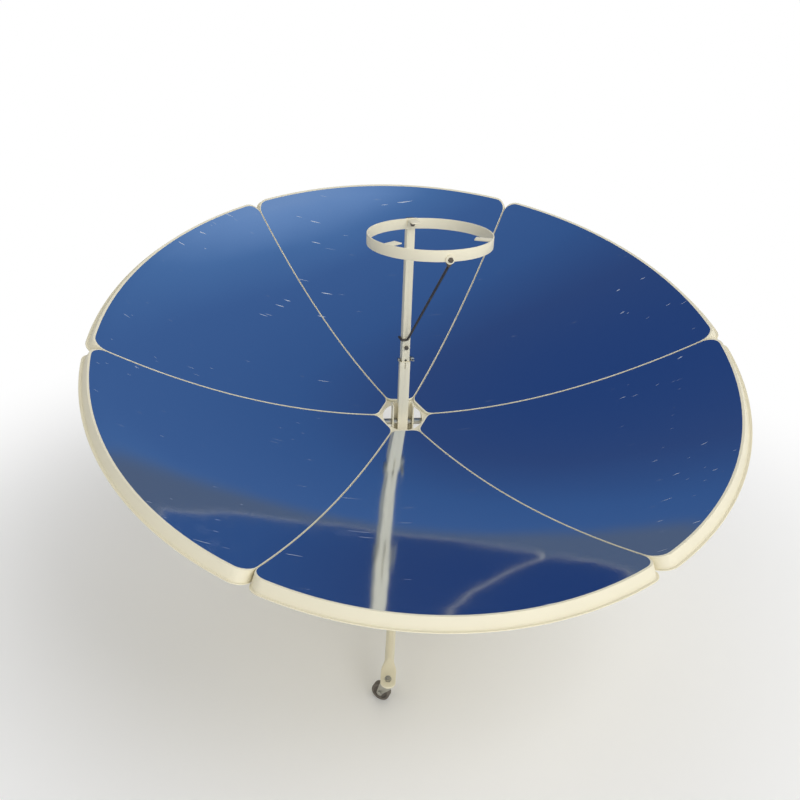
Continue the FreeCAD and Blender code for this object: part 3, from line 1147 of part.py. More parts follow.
CHEEK = "(sizes.wheel_hub_width / 2 + sizes.side_clearance)"
CROWN_BACK, CROWN_FRONT = "-sizes.caster_depth * 0.45", "sizes.caster_depth * 0.6"
for index, place in enumerate(foot_places, 1):
    here = Placement(place.Base, Rotation(Vector(0, 0, 1), value("sizes.caster_turn")))
    fork_label = "caster_fork_%d" % index
    body = new_body(fork_label)
    profile = new_sketch(body, "XY_Plane", "sizes.caster_crown")
    half_crown = "(%s + sizes.caster_sheet)" % CHEEK
    rectangle(profile, CROWN_BACK, CROWN_FRONT, "-" + half_crown, half_crown)
    pad(body, profile, "sizes.caster_sheet")
    for side in ("", "-"):
        profile = new_sketch(body, "XZ_Plane", side + CHEEK)
        polygon(profile, [
            (CROWN_BACK, CROWN_TOP),
            (CROWN_FRONT, CROWN_TOP),
            ("sizes.caster_trail + sizes.cheek_end", "sizes.wheel_radius"),
            ("sizes.caster_trail + sizes.cheek_end / 2", "sizes.wheel_radius - sizes.cheek_end"),
            ("sizes.caster_trail - sizes.cheek_end / 2", "sizes.wheel_radius - sizes.cheek_end"),
            ("sizes.caster_trail - sizes.cheek_end", "sizes.wheel_radius"),
            (CROWN_BACK, "sizes.caster_crown - sizes.caster_sheet")])
        cheek = pad(body, profile, "sizes.caster_sheet")
        cheek.Reversed = side == "-"
        doc.recompute()
    profile = new_sketch(body, "XY_Plane")
    circle(profile, 0, 0, "sizes.stem_radius + sizes.running_fit")
    pocket(body, profile)
    profile = new_sketch(body, "XZ_Plane")
    circle(profile, "sizes.caster_trail", "sizes.wheel_radius", "sizes.axle_radius + sizes.running_fit")
    pocket(body, profile)
    node(body, fork_label, here)

    wheel_label = "caster_wheel_%d" % index
    wheel = new_body(wheel_label)
    profile = new_sketch(wheel, "XZ_Plane")
    bore = "(sizes.axle_radius + sizes.running_fit)"
    hub, web = "(sizes.wheel_radius * 0.4)", "(sizes.wheel_radius * 0.72)"
    shoulder = "(sizes.wheel_radius - sizes.tread_edge)"
    tread = "(sizes.wheel_width / 2 - sizes.tread_edge)"
    half_profile = [
        (bore, "sizes.wheel_hub_width / 2"), (hub, "sizes.wheel_hub_width / 2"),
        (hub, "sizes.wheel_width / 4"), (web, "sizes.wheel_width / 4"), (web, "sizes.wheel_width / 2"),
        (shoulder, "sizes.wheel_width / 2"), ("sizes.wheel_radius", tread)]
    other_half = [(out, "-" + along) for out, along in reversed(half_profile)]
    polygon(profile, half_profile + other_half)
    revolve(wheel, profile)
    wheel_at = Placement(Vector(value("sizes.caster_trail"), 0, value("sizes.wheel_radius")),
                         Rotation(Vector(1, 0, 0), 90))
    node(wheel, wheel_label, here.multiply(wheel_at))

    axle_shank = cylinder("sizes.axle_radius", "2 * %s" % half_crown,
                          ("sizes.caster_trail", "-" + half_crown, "sizes.wheel_radius"), "y")
    axle_head = "(0.8 * sizes.axle_radius)"
    axle_heads = [hexagon("3 * sizes.axle_radius", axle_head,
                          ("sizes.caster_trail", at, "sizes.wheel_radius"), "y")
                  for at in ("-%s - %s" % (half_crown, axle_head), half_crown)]
    node(fuse(axle_shank, *axle_heads), "caster_axle_%d" % index, here)

doc.recompute()
for thing in doc.Objects:
    if "Invalid" in thing.State or "Error" in thing.State:
        raise ValueError("%s (%s) did not build" % (thing.Name, thing.Label))
for thing in nodes:
    shape = thing.Shape
    if shape.isNull() or not shape.isValid() or not shape.Solids:
        raise ValueError("%s has no valid solid" % thing.Label)
    shape.exportStep("parts/%s.step" % thing.Label)
print("nodes written:", len(nodes))
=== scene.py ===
import json
import math

import bmesh
import bpy
from mathutils import Matrix, Vector


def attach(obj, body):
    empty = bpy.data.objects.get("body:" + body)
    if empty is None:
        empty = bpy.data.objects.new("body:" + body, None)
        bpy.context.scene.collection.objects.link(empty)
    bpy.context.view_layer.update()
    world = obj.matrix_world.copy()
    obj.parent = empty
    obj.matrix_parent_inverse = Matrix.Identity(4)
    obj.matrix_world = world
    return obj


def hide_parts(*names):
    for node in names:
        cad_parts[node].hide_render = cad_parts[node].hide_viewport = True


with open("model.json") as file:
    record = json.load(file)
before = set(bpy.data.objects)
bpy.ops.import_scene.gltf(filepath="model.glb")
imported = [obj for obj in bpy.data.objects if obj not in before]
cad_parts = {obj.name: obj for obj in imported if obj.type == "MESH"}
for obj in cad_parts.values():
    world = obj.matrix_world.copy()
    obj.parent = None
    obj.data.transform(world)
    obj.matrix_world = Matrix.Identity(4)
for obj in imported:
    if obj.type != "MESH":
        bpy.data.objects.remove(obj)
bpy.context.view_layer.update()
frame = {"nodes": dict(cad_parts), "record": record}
bpy.ops.object.select_all(action="DESELECT")


# The studio: a pale floor, a white room and four soft lamps.
# Metal and mirror see a clear sky over a white horizon, deepest on one side, with haze low behind.
# The camera stands a little left of the front, at a standing person's eye height.
def linear(colour):
    """An sRGB hex colour as linear RGBA."""
    parts = [int(colour[index:index + 2], 16) / 255 for index in (1, 3, 5)]
    return [part / 12.92 if part <= 0.04045 else ((part + 0.055) / 1.055) ** 2.4 for part in parts] + [1.0]


def add(tree, kind, settings=None, links=None):
    """A node with its properties or socket values set, and its inputs linked."""
    node = tree.nodes.new(kind)
    for name, setting in (settings or {}).items():
        if isinstance(name, str) and hasattr(node, name):
            setattr(node, name, setting)
        else:
            node.inputs[name].default_value = setting
    for name, source in (links or {}).items():
        tree.links.new(source, node.inputs[name])
    return node


def material(name):
    """A new material with its shader; returns both and the node tree."""
    made = bpy.data.materials.new(name)
    made.use_nodes = True
    return made, made.node_tree, made.node_tree.nodes["Principled BSDF"]


world = bpy.data.worlds.new("white_room")
bpy.context.scene.world = world
world.use_nodes = True
room = world.node_tree
room.nodes.clear()
path = add(room, "ShaderNodeLightPath")
mirrored = add(room, "ShaderNodeMath", {"operation": "MAXIMUM"},
               {0: path.outputs["Is Glossy Ray"], 1: path.outputs["Is Transmission Ray"]})
way = add(room, "ShaderNodeTexCoord")
heading = add(room, "ShaderNodeSeparateXYZ", {}, {0: way.outputs["Generated"]})
from_deepest = add(room, "ShaderNodeVectorMath", {"operation": "DOT_PRODUCT", 1: (-0.252, 0.453, 0.855)},
                   {0: way.outputs["Generated"]})
overhead = add(room, "ShaderNodeValToRGB", {}, {0: from_deepest.outputs["Value"]})
SKY = [(0.20, "#e4edf7"), (0.57, "#7093c4"), (0.63, "#4e74a8"), (0.70, "#416398"), (0.83, "#395b90"),
       (0.93, "#314a7c"), (1.00, "#28447a")]
stops = overhead.color_ramp.elements
for place, tone in SKY[2:]:
    stops.new(place)
for stop, (place, tone) in zip(stops, SKY):
    stop.position = place
    stop.color = linear(tone)
low = add(room, "ShaderNodeMapRange", {"interpolation_type": "SMOOTHSTEP", "From Min": 0.47, "From Max": 0.41},
          {"Value": heading.outputs["Z"]})
behind = add(room, "ShaderNodeMapRange", {"interpolation_type": "SMOOTHSTEP", "From Min": 0.80, "From Max": 0.88},
             {"Value": heading.outputs["Y"]})
haze = add(room, "ShaderNodeMath", {"operation": "MULTIPLY"}, {0: low.outputs[0], 1: behind.outputs[0]})
overhead = add(room, "ShaderNodeMix", {"data_type": "RGBA", 7: linear("#54647f")},
               {0: haze.outputs[0], 6: overhead.outputs[0]})
height = add(room, "ShaderNodeMapRange", {"interpolation_type": "SMOOTHSTEP", "From Min": 0.06, "From Max": 0.26},
             {"Value": heading.outputs["Z"]})
walls = add(room, "ShaderNodeMix", {"data_type": "RGBA", 6: linear("#ffffff")},
            {0: height.outputs[0], 7: overhead.outputs[2]})
lit = add(room, "ShaderNodeBackground", {"Color": linear("#ffffff"), "Strength": 0.38})
around = add(room, "ShaderNodeBackground", {"Strength": 1.0}, {"Color": walls.outputs[2]})
shown = add(room, "ShaderNodeBackground", {"Color": linear("#ffffff"), "Strength": 1.0})
both = add(room, "ShaderNodeMixShader", {}, {0: mirrored.outputs[0], 1: lit.outputs[0], 2: around.outputs[0]})
both = add(room, "ShaderNodeMixShader", {},
           {0: path.outputs["Is Camera Ray"], 1: both.outputs[0], 2: shown.outputs[0]})
add(room, "ShaderNodeOutputWorld", {}, {0: both.outputs[0]})

bpy.ops.mesh.primitive_plane_add(size=60)
floor = bpy.context.object
floor.name = "floor"
floor_paper, tree, shader = material("white_paper")
shader.inputs["Base Color"].default_value = linear("#f7f7f7")
shader.inputs["Roughness"].default_value = 0.9
shader.inputs["Specular IOR Level"].default_value = 0.0
path = add(tree, "ShaderNodeLightPath")
seen = add(tree, "ShaderNodeMath", {"operation": "MAXIMUM"},
           {0: path.outputs["Is Camera Ray"], 1: path.outputs["Is Glossy Ray"]})
seen = add(tree, "ShaderNodeMath", {"operation": "MAXIMUM"},
           {0: seen.outputs[0], 1: path.outputs["Is Transmission Ray"]})
place = add(tree, "ShaderNodeTexCoord")
away = add(tree, "ShaderNodeVectorMath", {"operation": "LENGTH"}, {0: place.outputs["Object"]})
fade = add(tree, "ShaderNodeMapRange", {"interpolation_type": "SMOOTHSTEP", "From Min": 0.7, "From Max": 1.9},
           {"Value": away.outputs["Value"]})
fade = add(tree, "ShaderNodeMath", {"operation": "MULTIPLY"}, {0: fade.outputs[0], 1: seen.outputs[0]})
blank = add(tree, "ShaderNodeEmission", {"Color": linear("#ffffff"), "Strength": 1.0})
paper = add(tree, "ShaderNodeMixShader", {}, {0: fade.outputs[0], 1: shader.outputs[0], 2: blank.outputs[0]})
tree.links.new(paper.outputs[0], tree.nodes["Material Output"].inputs["Surface"])
floor.data.materials.append(floor_paper)

LAMPS = [("key", (2.8, -2.6, 4.2), 4.0, 112), ("fill", (-3.4, -1.8, 3.2), 4.0, 22),
         ("back", (0.6, 3.8, 3.8), 4.0, 60), ("front", (0.6, -4.6, 1.4), 3.0, 54)]
for name, place, size, power in LAMPS:
    lamp = bpy.data.lights.new(name, "AREA")
    lamp.size = size
    lamp.energy = power
    holder = bpy.data.objects.new(name, lamp)
    holder.location = place
    holder.rotation_euler = (Vector((0, 0, 0.5)) - Vector(place)).to_track_quat("-Z", "Y").to_euler()
    holder.visible_glossy = False
    bpy.context.collection.objects.link(holder)

camera = bpy.data.cameras.new("camera")
camera.sensor_width = 36
camera.lens = 39.03
camera.shift_x = 0.08625
camera.shift_y = -0.0860
viewer = bpy.data.objects.new("camera", camera)
viewer.location = (-0.3135, -1.9802, 1.4816)
viewer.rotation_euler = [math.radians(angle) for angle in (68.78, -0.42, -3.55)]
bpy.context.collection.objects.link(viewer)
bpy.context.scene.camera = viewer
bpy.context.scene.view_settings.view_transform = "Standard"


# Finishes that several pieces share.
def coat(name, colour, roughness, metallic=0.0, grain=0.0008, depth=0.03, spread=0.04):
    """A finish with a slight mottle in its tone and a fine grain in its surface."""
    made, tree, shader = material(name)
    place = add(tree, "ShaderNodeTexCoord")
    cloud = add(tree, "ShaderNodeTexNoise", {"Scale": 9.0, "Detail": 4.0}, {"Vector": place.outputs["Object"]})
    tone = add(tree, "ShaderNodeMapRange", {"To Min": 1 - spread, "To Max": 1 + spread},
               {"Value": cloud.outputs[0]})
    tint = add(tree, "ShaderNodeVectorMath", {"operation": "SCALE", 0: linear(colour)[:3]},
               {"Scale": tone.outputs[0]})
    tree.links.new(tint.outputs[0], shader.inputs["Base Color"])
    shader.inputs["Metallic"].default_value = metallic
    rough = add(tree, "ShaderNodeMapRange", {"To Min": roughness - 0.06, "To Max": roughness + 0.06},
                {"Value": cloud.outputs[0]})
    tree.links.new(rough.outputs[0], shader.inputs["Roughness"])
    fine = add(tree, "ShaderNodeTexNoise", {"Scale": 1 / grain, "Detail": 2.0}, {"Vector": place.outputs["Object"]})
    bump = add(tree, "ShaderNodeBump", {"Strength": depth, "Distance": grain}, {"Height": fine.outputs[0]})
    tree.links.new(bump.outputs[0], shader.inputs["Normal"])
    return made


FINISH = {
    "cream_paint": coat("cream_powder_coat", "#ebe4cb", 0.42),
    "zinc_steel": coat("zinc_plated_steel", "#b9b7ae", 0.38, metallic=1.0, grain=0.0005),
    "dark_steel": coat("blackened_steel", "#5f574e", 0.45, metallic=0.55, grain=0.0005),
    "black_plastic": coat("moulded_black_plastic", "#1d1d1f", 0.48),
    "grey_rubber": coat("grey_tread_rubber", "#6b645b", 0.7),
}

# Mirror film: near-neutral aluminised polyester, rubbed down on the petals by hand.
# It mirrors the room almost sharply, ripples a little where it was laid, and has short pale scratches.
film, tree, shader = material("aluminised_polyester_film")
place = add(tree, "ShaderNodeTexCoord")
turn = add(tree, "ShaderNodeMapping", {"Rotation": (0.0, 0.35, 0.22), "Scale": (8.0, 200.0, 50.0)},
           {"Vector": place.outputs["Object"]})
lines = add(tree, "ShaderNodeTexNoise", {"Scale": 1.0, "Detail": 1.0}, {"Vector": turn.outputs[0]})
lines = add(tree, "ShaderNodeMapRange", {"From Min": 0.745, "From Max": 0.785}, {"Value": lines.outputs[0]})
patches = add(tree, "ShaderNodeTexNoise", {"Scale": 3.2, "Detail": 2.0}, {"Vector": place.outputs["Object"]})
where = add(tree, "ShaderNodeMapRange", {"From Min": 0.44, "From Max": 0.58}, {"Value": patches.outputs[0]})
scratch = add(tree, "ShaderNodeMath", {"operation": "MULTIPLY"}, {0: lines.outputs[0], 1: where.outputs[0]})
tone = add(tree, "ShaderNodeMix", {"data_type": "RGBA", 6: linear("#e6ebf2"), 7: linear("#f6f7f9")},
           {0: scratch.outputs[0]})
tree.links.new(tone.outputs[2], shader.inputs["Base Color"])
worn = add(tree, "ShaderNodeMapRange", {"To Min": 1.0, "To Max": 0.6}, {"Value": scratch.outputs[0]})
tree.links.new(worn.outputs[0], shader.inputs["Metallic"])
dust = add(tree, "ShaderNodeTexNoise", {"Scale": 26.0, "Detail": 5.0}, {"Vector": place.outputs["Object"]})
rough = add(tree, "ShaderNodeMapRange", {"To Min": 0.045, "To Max": 0.085}, {"Value": dust.outputs[0]})
rough = add(tree, "ShaderNodeMath", {"operation": "MULTIPLY_ADD", 1: 0.5}, {0: scratch.outputs[0], 2: rough.outputs[0]})
tree.links.new(rough.outputs[0], shader.inputs["Roughness"])
ripple = add(tree, "ShaderNodeTexNoise", {"Scale": 6.0, "Detail": 1.0}, {"Vector": place.outputs["Object"]})
bump = add(tree, "ShaderNodeBump", {"Strength": 0.35, "Distance": 0.0016}, {"Height": ripple.outputs[0]})
tree.links.new(bump.outputs[0], shader.inputs["Normal"])
FINISH["mirror_film"] = film

slots = {row["node"]: row["material_slot"] for row in frame["record"]["subparts"]}
for name, node in frame["nodes"].items():
    for holder in node.material_slots:
        holder.material = FINISH[slots[name]]

# Petals: six pressed steel trays, powder coated, that make the bowl of the dish.
# Each is one sheet: a parabolic face, a flange folded down square to it along the rim,
# and skirts folded down along its seams, where bolts draw the neighbours together.
FOCUS = 0.563
TILT = math.radians(17.3)
PIVOT = Vector((0, 0, 0.46))
VERTEX_RISE = 0.022
DISH = Matrix.Translation(PIVOT) @ Matrix.Rotation(TILT, 4, "X") @ Matrix.Translation((0, 0, VERTEX_RISE))
RIM = 0.750
FLANGE = 0.026
LIP = 0.0065
SEAM = 0.0008
HUB_FLAT = 0.054
HUB_LIP = 0.005
SKIRT_POWER = 2.1
SHEET = 0.0015
FOLD = 0.0022
ROWS = 30
COLUMNS = 42
CORNER_COLUMNS = 6
slope = math.atan(RIM / (2 * FOCUS))
flange_rim = RIM + FLANGE * math.sin(slope)
flange_foot = RIM ** 2 / (4 * FOCUS) - FLANGE * math.cos(slope)
lip_rim = flange_rim + LIP * math.cos(slope)
skirt_rise = (flange_foot + HUB_LIP) / flange_rim ** SKIRT_POWER


def column_ends(across, inset, hub, hub_corner, rim, rim_corner):
    """Where a column of a petal starts at the hub and ends at the rim; across runs from -1 to 1."""
    side = math.radians(30)
    inward = Vector((math.sin(side), -math.cos(side)))
    along = Vector((math.cos(side), math.sin(side)))
    offset = inset + hub_corner
    hub_centre = inward * offset + along * ((hub + hub_corner - inward.x * offset) / along.x)
    offset = inset + rim_corner
    rim_centre = inward * offset + along * math.sqrt((rim - rim_corner) ** 2 - offset ** 2)
    rim_turn = math.atan2(rim_centre.y, rim_centre.x)
    straight = 1 - 2 * CORNER_COLUMNS / COLUMNS
    part = min(abs(across) / straight, 1)
    bend = max(abs(across) - straight, 0) / (1 - straight)
    start = Vector((hub, hub_centre.y * part))
    end = Vector((math.cos(rim_turn * part), math.sin(rim_turn * part))) * rim
    if bend:
        turn = math.pi + (side + math.pi / 2 - math.pi) * bend
        start = hub_centre + Vector((math.cos(turn), math.sin(turn))) * hub_corner
        turn = rim_turn + (side + math.pi / 2 - rim_turn) * bend
        end = rim_centre + Vector((math.cos(turn), math.sin(turn))) * rim_corner
    if across < 0:
        start.y, end.y = -start.y, -end.y
    return start, end


def new_grid(name, rows, columns):
    """A grid with its vertices' steps along and across it."""
    bpy.ops.object.select_all(action="DESELECT")
    bpy.ops.mesh.primitive_grid_add(x_subdivisions=rows, y_subdivisions=columns, size=2)
    grid = bpy.context.object
    grid.name = name
    return grid, [((vertex.co.x + 1) / 2, vertex.co.y) for vertex in grid.data.vertices]


def finish(piece, matrix, finish_of, body, node, angle=35):
    """Applies the modifiers, puts the piece in place and gives it its finish and body."""
    bpy.ops.object.select_all(action="DESELECT")
    piece.select_set(True)
    bpy.context.view_layer.objects.active = piece
    for modifier in list(piece.modifiers):
        bpy.ops.object.modifier_apply(modifier=modifier.name)
    piece.data.transform(matrix)
    bpy.ops.object.shade_smooth_by_angle(angle=math.radians(angle))
    piece.data.materials.clear()
    piece.data.materials.append(FINISH[finish_of])
    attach(piece, body)
    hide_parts(node)


def on_bowl(place, lift=0.0):
    """A point of the plan raised on to the parabola."""
    return Vector((place.x, place.y, place.length_squared / (4 * FOCUS) + lift))


def skirt_foot(place):
    """The lower edge of a skirt or flange under a point of the plan."""
    return Vector((place.x, place.y, skirt_rise * place.length ** SKIRT_POWER - HUB_LIP))


def spot(place):
    """A place rounded so that it can be looked up."""
    return tuple(round(number, 5) for number in place)


petal, steps = new_grid("petal_pattern", ROWS, COLUMNS)
feet, rim_lips, lips = {}, {}, {}
for vertex, (along, across) in zip(petal.data.vertices, steps):
    start, end = column_ends(across, SEAM, HUB_FLAT, 0.022, RIM, 0.030)
    vertex.co = on_bowl(start.lerp(end, along))
    if along < 0.001 or along > 0.999 or abs(across) > 0.999:
        low_start, low_end = column_ends(across, SEAM, HUB_FLAT, 0.022, flange_rim, 0.030)
        feet[spot(vertex.co)] = skirt_foot(low_start.lerp(low_end, along))
    if along > 0.999:
        lip_end = column_ends(across, SEAM, HUB_FLAT, 0.022, lip_rim, 0.030)[1]
        rim_lips[spot(vertex.co)] = Vector((*lip_end, skirt_foot(low_end).z + LIP * math.sin(slope)))
bpy.ops.object.mode_set(mode="EDIT")
bpy.ops.mesh.select_all(action="SELECT")
bpy.ops.mesh.region_to_loop()
bpy.ops.transform.edge_bevelweight(value=0.4)
bpy.ops.mesh.extrude_region_move()
bpy.ops.object.mode_set(mode="OBJECT")
for vertex in petal.data.vertices:
    if vertex.select:
        folded = spot(vertex.co)
        vertex.co = feet[folded]
        if folded in rim_lips:
            lips[spot(vertex.co)] = rim_lips[folded]
bpy.ops.object.mode_set(mode="EDIT")
bpy.ops.mesh.select_mode(type="EDGE")
for places, weight in ((rim_lips, 0.6), (lips, 1)):
    bpy.ops.mesh.select_all(action="DESELECT")
    form = bmesh.from_edit_mesh(petal.data)
    for edge in form.edges:
        edge.select_set(all(spot(vertex.co) in places for vertex in edge.verts))
    bmesh.update_edit_mesh(petal.data)
    bpy.ops.transform.edge_bevelweight(value=weight)
bpy.ops.mesh.extrude_region_move()
bpy.ops.object.mode_set(mode="OBJECT")
for vertex in petal.data.vertices:
    if vertex.select:
        vertex.co = lips[spot(vertex.co)]
wall = petal.modifiers.new("sheet", "SOLIDIFY")
wall.thickness = SHEET
wall.offset = -1
fold = petal.modifiers.new("fold", "BEVEL")
fold.limit_method = "WEIGHT"
fold.width = FOLD
fold.segments = 3
petal.modifiers.move(1, 0)

film_sheet, steps = new_grid("film_pattern", ROWS, COLUMNS)
for vertex, (along, across) in zip(film_sheet.data.vertices, steps):
    start, end = column_ends(across, SEAM + 0.0012, HUB_FLAT + 0.004, 0.0208, RIM - 0.005, 0.0288)
    vertex.co = on_bowl(start.lerp(end, along), 0.0005)
wall = film_sheet.modifiers.new("film", "SOLIDIFY")
wall.thickness = 0.0004
wall.offset = -1

for pattern, label, slot in ((petal, "petal", "cream_paint"), (film_sheet, "mirror_film", "mirror_film")):
    for index in range(6):
        copy = pattern.copy()
        copy.data = pattern.data.copy()
        copy.name = "%s_pressed_%d" % (label, index + 1)
        bpy.context.collection.objects.link(copy)
        place = DISH @ Matrix.Rotation(math.radians(30 + 60 * index), 4, "Z")
        finish(copy, place, slot, "dish", "%s_%d" % (label, index + 1))
    bpy.data.objects.remove(pattern)

# Legs and brace: bars bent round a former, so that every corner is an arc of one radius.
# The legs are tubes squeezed flat at the outer end, where the caster's stem goes through.
def bent_bar(name, points, bend, radius, sides):
    """A ring of vertices drawn along the points and swung round each corner; left in edit mode."""
    bpy.ops.object.select_all(action="DESELECT")
    first_way = (points[1] - points[0]).to_track_quat("Z", "Y").to_euler()
    bpy.ops.mesh.primitive_circle_add(vertices=sides, radius=radius, location=points[0], rotation=first_way)
    bar = bpy.context.object
    bar.name = name
    bpy.ops.object.transform_apply(location=True, rotation=True, scale=True)
    bpy.ops.object.mode_set(mode="EDIT")
    bpy.ops.mesh.select_mode(type="VERT")
    bpy.ops.mesh.select_all(action="SELECT")
    start = points[0]
    for before, corner, after in zip(points, points[1:], points[2:]):
        back = (before - corner).normalized()
        ahead = (after - corner).normalized()
        half = back.angle(ahead) / 2
        bend_start = corner + back * (bend / math.tan(half))
        centre = corner + (back + ahead).normalized() * (bend / math.sin(half))
        bpy.ops.mesh.extrude_region_move(TRANSFORM_OT_translate={"value": bend_start - start})
        bpy.ops.mesh.spin(steps=8, angle=math.pi - 2 * half, center=centre, axis=back.cross(ahead).normalized())
        start = corner + ahead * (bend / math.tan(half))
    bpy.ops.mesh.extrude_region_move(TRANSFORM_OT_translate={"value": points[-1] - start})
    return bar


def close_ends():
    """Fills what is open, turns the faces outwards and leaves edit mode."""
    bpy.ops.mesh.select_all(action="SELECT")
    bpy.ops.mesh.remove_doubles(threshold=0.00001)
    bpy.ops.mesh.fill_holes(sides=0)
    bpy.ops.mesh.normals_make_consistent(inside=False)
    bpy.ops.object.mode_set(mode="OBJECT")


LEG_RADIUS = 0.011
LEG_HEIGHT = 0.160
FOOT_HEIGHT = 0.054
FOOT_HALF_WIDTH = 0.017
FOOT_HALF_SHEET = 0.002
FOOT_END = 0.498
LEG_TURN = math.radians(-9.9)
SQUEEZE_START = 0.412
SQUEEZE_STEPS = 8


def squeezed(ring, share, width, reach):
    """Moves a leg's end ring out and part of the way from round to flat."""
    flat = 1 - 0.62 * share
    half_sheet = LEG_RADIUS + (FOOT_HALF_SHEET - LEG_RADIUS) * share
    for vertex, turn in ring:
        sideways, upwards = math.cos(turn), math.sin(turn)
        vertex.co.x = width * math.copysign(abs(sideways) ** flat, sideways)
        vertex.co.z = FOOT_HEIGHT + half_sheet * math.copysign(abs(upwards) ** flat, upwards)
        vertex.co.y = -reach


for index in range(3):
    route = [Vector((0, -out, height)) for out, height in
             ((0.025, LEG_HEIGHT), (0.150, LEG_HEIGHT), (0.392, FOOT_HEIGHT), (SQUEEZE_START, FOOT_HEIGHT))]
    leg = bent_bar("leg_tube_%d" % (index + 1), route, 0.090, LEG_RADIUS, 32)
    for step in range(1, SQUEEZE_STEPS + 7):
        bpy.ops.mesh.extrude_region_move()
        form = bmesh.from_edit_mesh(leg.data)
        ring = [vertex for vertex in form.verts if vertex.select]
        if step == 1:
            turns = [math.atan2(vertex.co.z - FOOT_HEIGHT, vertex.co.x) for vertex in ring]
        ring = list(zip(sorted(ring, key=lambda vertex: math.atan2(vertex.co.z - FOOT_HEIGHT, vertex.co.x)),
                        sorted(turns)))
        share = min(step / SQUEEZE_STEPS, 1)
        share = share * share * (3 - 2 * share)
        width = LEG_RADIUS + (FOOT_HALF_WIDTH - LEG_RADIUS) * share
        reach = SQUEEZE_START + 0.034 * min(step / SQUEEZE_STEPS, 1)
        if step > SQUEEZE_STEPS:
            round_end = math.radians(15 * (step - SQUEEZE_STEPS))
            width = FOOT_HALF_WIDTH * math.cos(round_end) + 0.0004
            reach = FOOT_END - FOOT_HALF_WIDTH + FOOT_HALF_WIDTH * math.sin(round_end)
        squeezed(ring, share, width, reach)
        bmesh.update_edit_mesh(leg.data)
    close_ends()
    turn = Matrix.Rotation(LEG_TURN + math.radians(120 * index), 4, "Z")
    finish(leg, turn, "cream_paint", "base", "leg_%d" % (index + 1))

# Caster wheels: grey rubber treads on moulded hubs, turned about their axles.
WHEEL_RADIUS = 0.021
WHEEL_WIDTH = 0.015
HUB_WIDTH = 0.017
TRAIL = Matrix.Translation((0.015, 0, WHEEL_RADIUS))
CASTER_TURN = math.radians(148)
FOOT_BOLT = 0.476


def pick_faces(piece, wanted):
    """Selects the faces for which wanted(centre, normal) holds."""
    bpy.ops.mesh.select_mode(type="FACE")
    bpy.ops.mesh.select_all(action="DESELECT")
    form = bmesh.from_edit_mesh(piece.data)
    for face in form.faces:
        face.select_set(wanted(face.calc_center_median(), face.normal))
    form.select_flush(True)
    bmesh.update_edit_mesh(piece.data)


for index in range(3):
    bpy.ops.object.select_all(action="DESELECT")
    bpy.ops.mesh.primitive_cylinder_add(vertices=56, radius=WHEEL_RADIUS, depth=WHEEL_WIDTH,
                                        rotation=(math.pi / 2, 0, 0))
    wheel = bpy.context.object
    wheel.name = "wheel_moulded_%d" % (index + 1)
    bpy.ops.object.transform_apply(location=True, rotation=True, scale=True)
    bpy.ops.object.mode_set(mode="EDIT")
    for side in (-1, 1):
        pick_faces(wheel, lambda centre, normal: normal.y * side > 0.9)
        bpy.ops.mesh.inset(thickness=WHEEL_RADIUS * 0.28)
        bpy.ops.mesh.extrude_region_move(TRANSFORM_OT_translate={"value": (0, -side * WHEEL_WIDTH / 4, 0)})
        bpy.ops.mesh.inset(thickness=WHEEL_RADIUS * 0.32)
        rise = HUB_WIDTH / 2 - WHEEL_WIDTH / 4
        bpy.ops.mesh.extrude_region_move(TRANSFORM_OT_translate={"value": (0, side * rise, 0)})
        bpy.ops.mesh.inset(thickness=WHEEL_RADIUS * 0.4 - 0.0036)
    bpy.ops.object.mode_set(mode="OBJECT")
    tread = wheel.modifiers.new("tread", "BEVEL")
    tread.width = 0.0016
    tread.segments = 4
    tread.limit_method = "ANGLE"
    tread.angle_limit = math.radians(40)
    leg_turn = Matrix.Rotation(LEG_TURN + math.radians(120 * index), 4, "Z")
    stem = leg_turn @ Vector((0, -FOOT_BOLT, 0))
    place = Matrix.Translation(stem) @ Matrix.Rotation(CASTER_TURN, 4, "Z") @ TRAIL
    finish(wheel, place, "grey_rubber", "wheel_%d" % (index + 1), "caster_wheel_%d" % (index + 1))

# Pot ring: a flat steel bar rolled on edge and welded shut, powder coated.
# It sits in front of the upper tube, which stands a little turned in its loose fit.
MAST = Matrix.Rotation(math.radians(8), 4, "Z")
RING_RADIUS = 0.139
RING_BAND = 0.025
RING_SHEET = 0.003
RING_TOP = 0.996
RING_OUT = 0.0095 + 0.002 + RING_RADIUS
bpy.ops.object.select_all(action="DESELECT")
bpy.ops.mesh.primitive_cylinder_add(vertices=120, radius=RING_RADIUS, depth=RING_BAND, end_fill_type="NOTHING",
                                    location=(0, -RING_OUT, RING_TOP - RING_BAND / 2))
ring = bpy.context.object
ring.name = "ring_rolled"
bpy.ops.object.transform_apply(location=True, rotation=True, scale=True)
wall = ring.modifiers.new("bar", "SOLIDIFY")
wall.thickness = RING_SHEET
wall.offset = -1
rounding = ring.modifiers.new("edge", "BEVEL")
rounding.width = 0.0009
rounding.segments = 3
rounding.limit_method = "ANGLE"
rounding.angle_limit = math.radians(40)
finish(ring, MAST, "cream_paint", "pot_stand", "pot_ring")

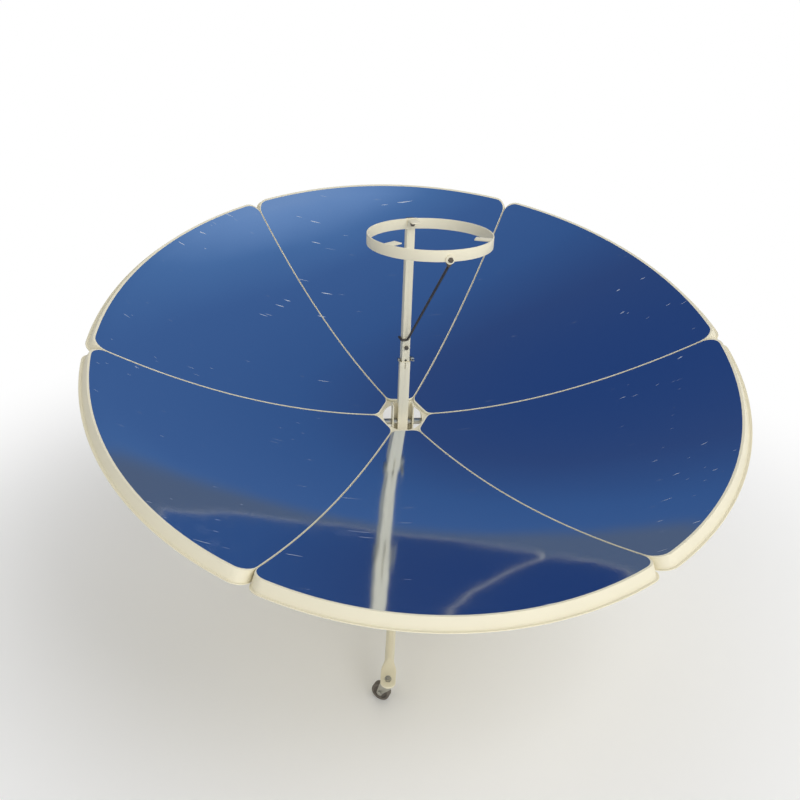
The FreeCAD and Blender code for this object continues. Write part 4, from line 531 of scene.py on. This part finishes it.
# Brace: a round steel bar from the ring's front, hooked round the upper tube.
# Its top is hammered flat into an eye that a bolt holds inside the ring.
BRACE_RADIUS = 0.003
EYE_FACE = -RING_OUT - RING_RADIUS + RING_SHEET + 0.0004
BRACE_BOLT = RING_TOP - RING_BAND + 0.005
HOOK_HEIGHT = 0.690
hook_out = 0.0095 + BRACE_RADIUS + 0.0009
route = [Vector((0, EYE_FACE + BRACE_RADIUS / 2 + 0.001, BRACE_BOLT - 0.014)),
         Vector((0.001, -hook_out, HOOK_HEIGHT)), Vector((-hook_out, -hook_out, HOOK_HEIGHT)),
         Vector((-hook_out, hook_out - BRACE_RADIUS, HOOK_HEIGHT))]
brace = bent_bar("brace_bent", route, 1.6 * BRACE_RADIUS, BRACE_RADIUS, 16)
close_ends()
finish(brace, MAST, "dark_steel", "pot_stand", "brace_rod")
bpy.ops.object.select_all(action="DESELECT")
bpy.ops.mesh.primitive_cylinder_add(vertices=40, radius=0.009, depth=BRACE_RADIUS, rotation=(math.pi / 2, 0, 0),
                                    location=(0, EYE_FACE + BRACE_RADIUS / 2, BRACE_BOLT))
eye = bpy.context.object
eye.name = "brace_eye"
bpy.ops.object.transform_apply(location=True, rotation=True, scale=True)
bpy.ops.object.mode_set(mode="EDIT")
form = bmesh.from_edit_mesh(eye.data)
for vertex in form.verts:
    if vertex.co.z < BRACE_BOLT:
        fall = (BRACE_BOLT - vertex.co.z) / 0.009
        vertex.co.z -= 0.009 * fall
        vertex.co.x *= 1 - 0.25 * fall
bmesh.update_edit_mesh(eye.data)
bpy.ops.object.mode_set(mode="OBJECT")
rounding = eye.modifiers.new("edge", "BEVEL")
rounding.width = 0.0008
rounding.segments = 2
rounding.limit_method = "ANGLE"
finish(eye, MAST, "dark_steel", "pot_stand", "brace_rod")

# Fasteners, plates and tubes keep their solids' shapes, with the small rounded edges
# that sheared plate, drawn tube and forged heads have.
def eased(node, radius, segments=2):
    """A copy of a solid with its facets joined and its sharp edges rounded."""
    source = frame["nodes"][node]
    bpy.ops.object.select_all(action="DESELECT")
    piece = bpy.data.objects.new(node + "_eased", source.data.copy())
    bpy.context.collection.objects.link(piece)
    piece.select_set(True)
    bpy.context.view_layer.objects.active = piece
    bpy.ops.object.mode_set(mode="EDIT")
    bpy.ops.mesh.select_all(action="SELECT")
    bpy.ops.mesh.remove_doubles(threshold=0.00001)
    bpy.ops.mesh.dissolve_limited(angle_limit=math.radians(1))
    bpy.ops.object.mode_set(mode="OBJECT")
    rounding = piece.modifiers.new("edge", "BEVEL")
    rounding.width = radius
    rounding.segments = segments
    rounding.limit_method = "ANGLE"
    rounding.angle_limit = math.radians(32)
    body = next(name for name, names in frame["record"]["behaviour"]["bodies"].items() if node in names)
    finish(piece, Matrix(), slots[node], body, node)
    return piece


EASED = {
    0.0008: ("hub_plate", "ear_left", "ear_quadrant", "head_fork", "base_plate_upper", "base_plate_lower",
             "pot_tabs", "ring_saddle", "brace_boss", "caster_fork_1", "caster_fork_2", "caster_fork_3", "column_bush"),
    0.0015: ("post_lower", "post_upper", "post_cap", "tilt_knob", "swivel_knob", "stop_wing_nut"),
    0.0004: ("hub_nuts", "seam_bolts", "ear_bolts", "pivot_bolt", "pivot_spacers", "tilt_bolt",
             "stop_pin", "hook_bolt", "ring_bolt", "brace_bolt", "swivel_nut", "swivel_screw", "leg_bolts",
             "caster_stems", "caster_axle_1", "caster_axle_2", "caster_axle_3", "head_spigot", "column"),
}
for radius, names in EASED.items():
    for name in names:
        eased(name, radius)
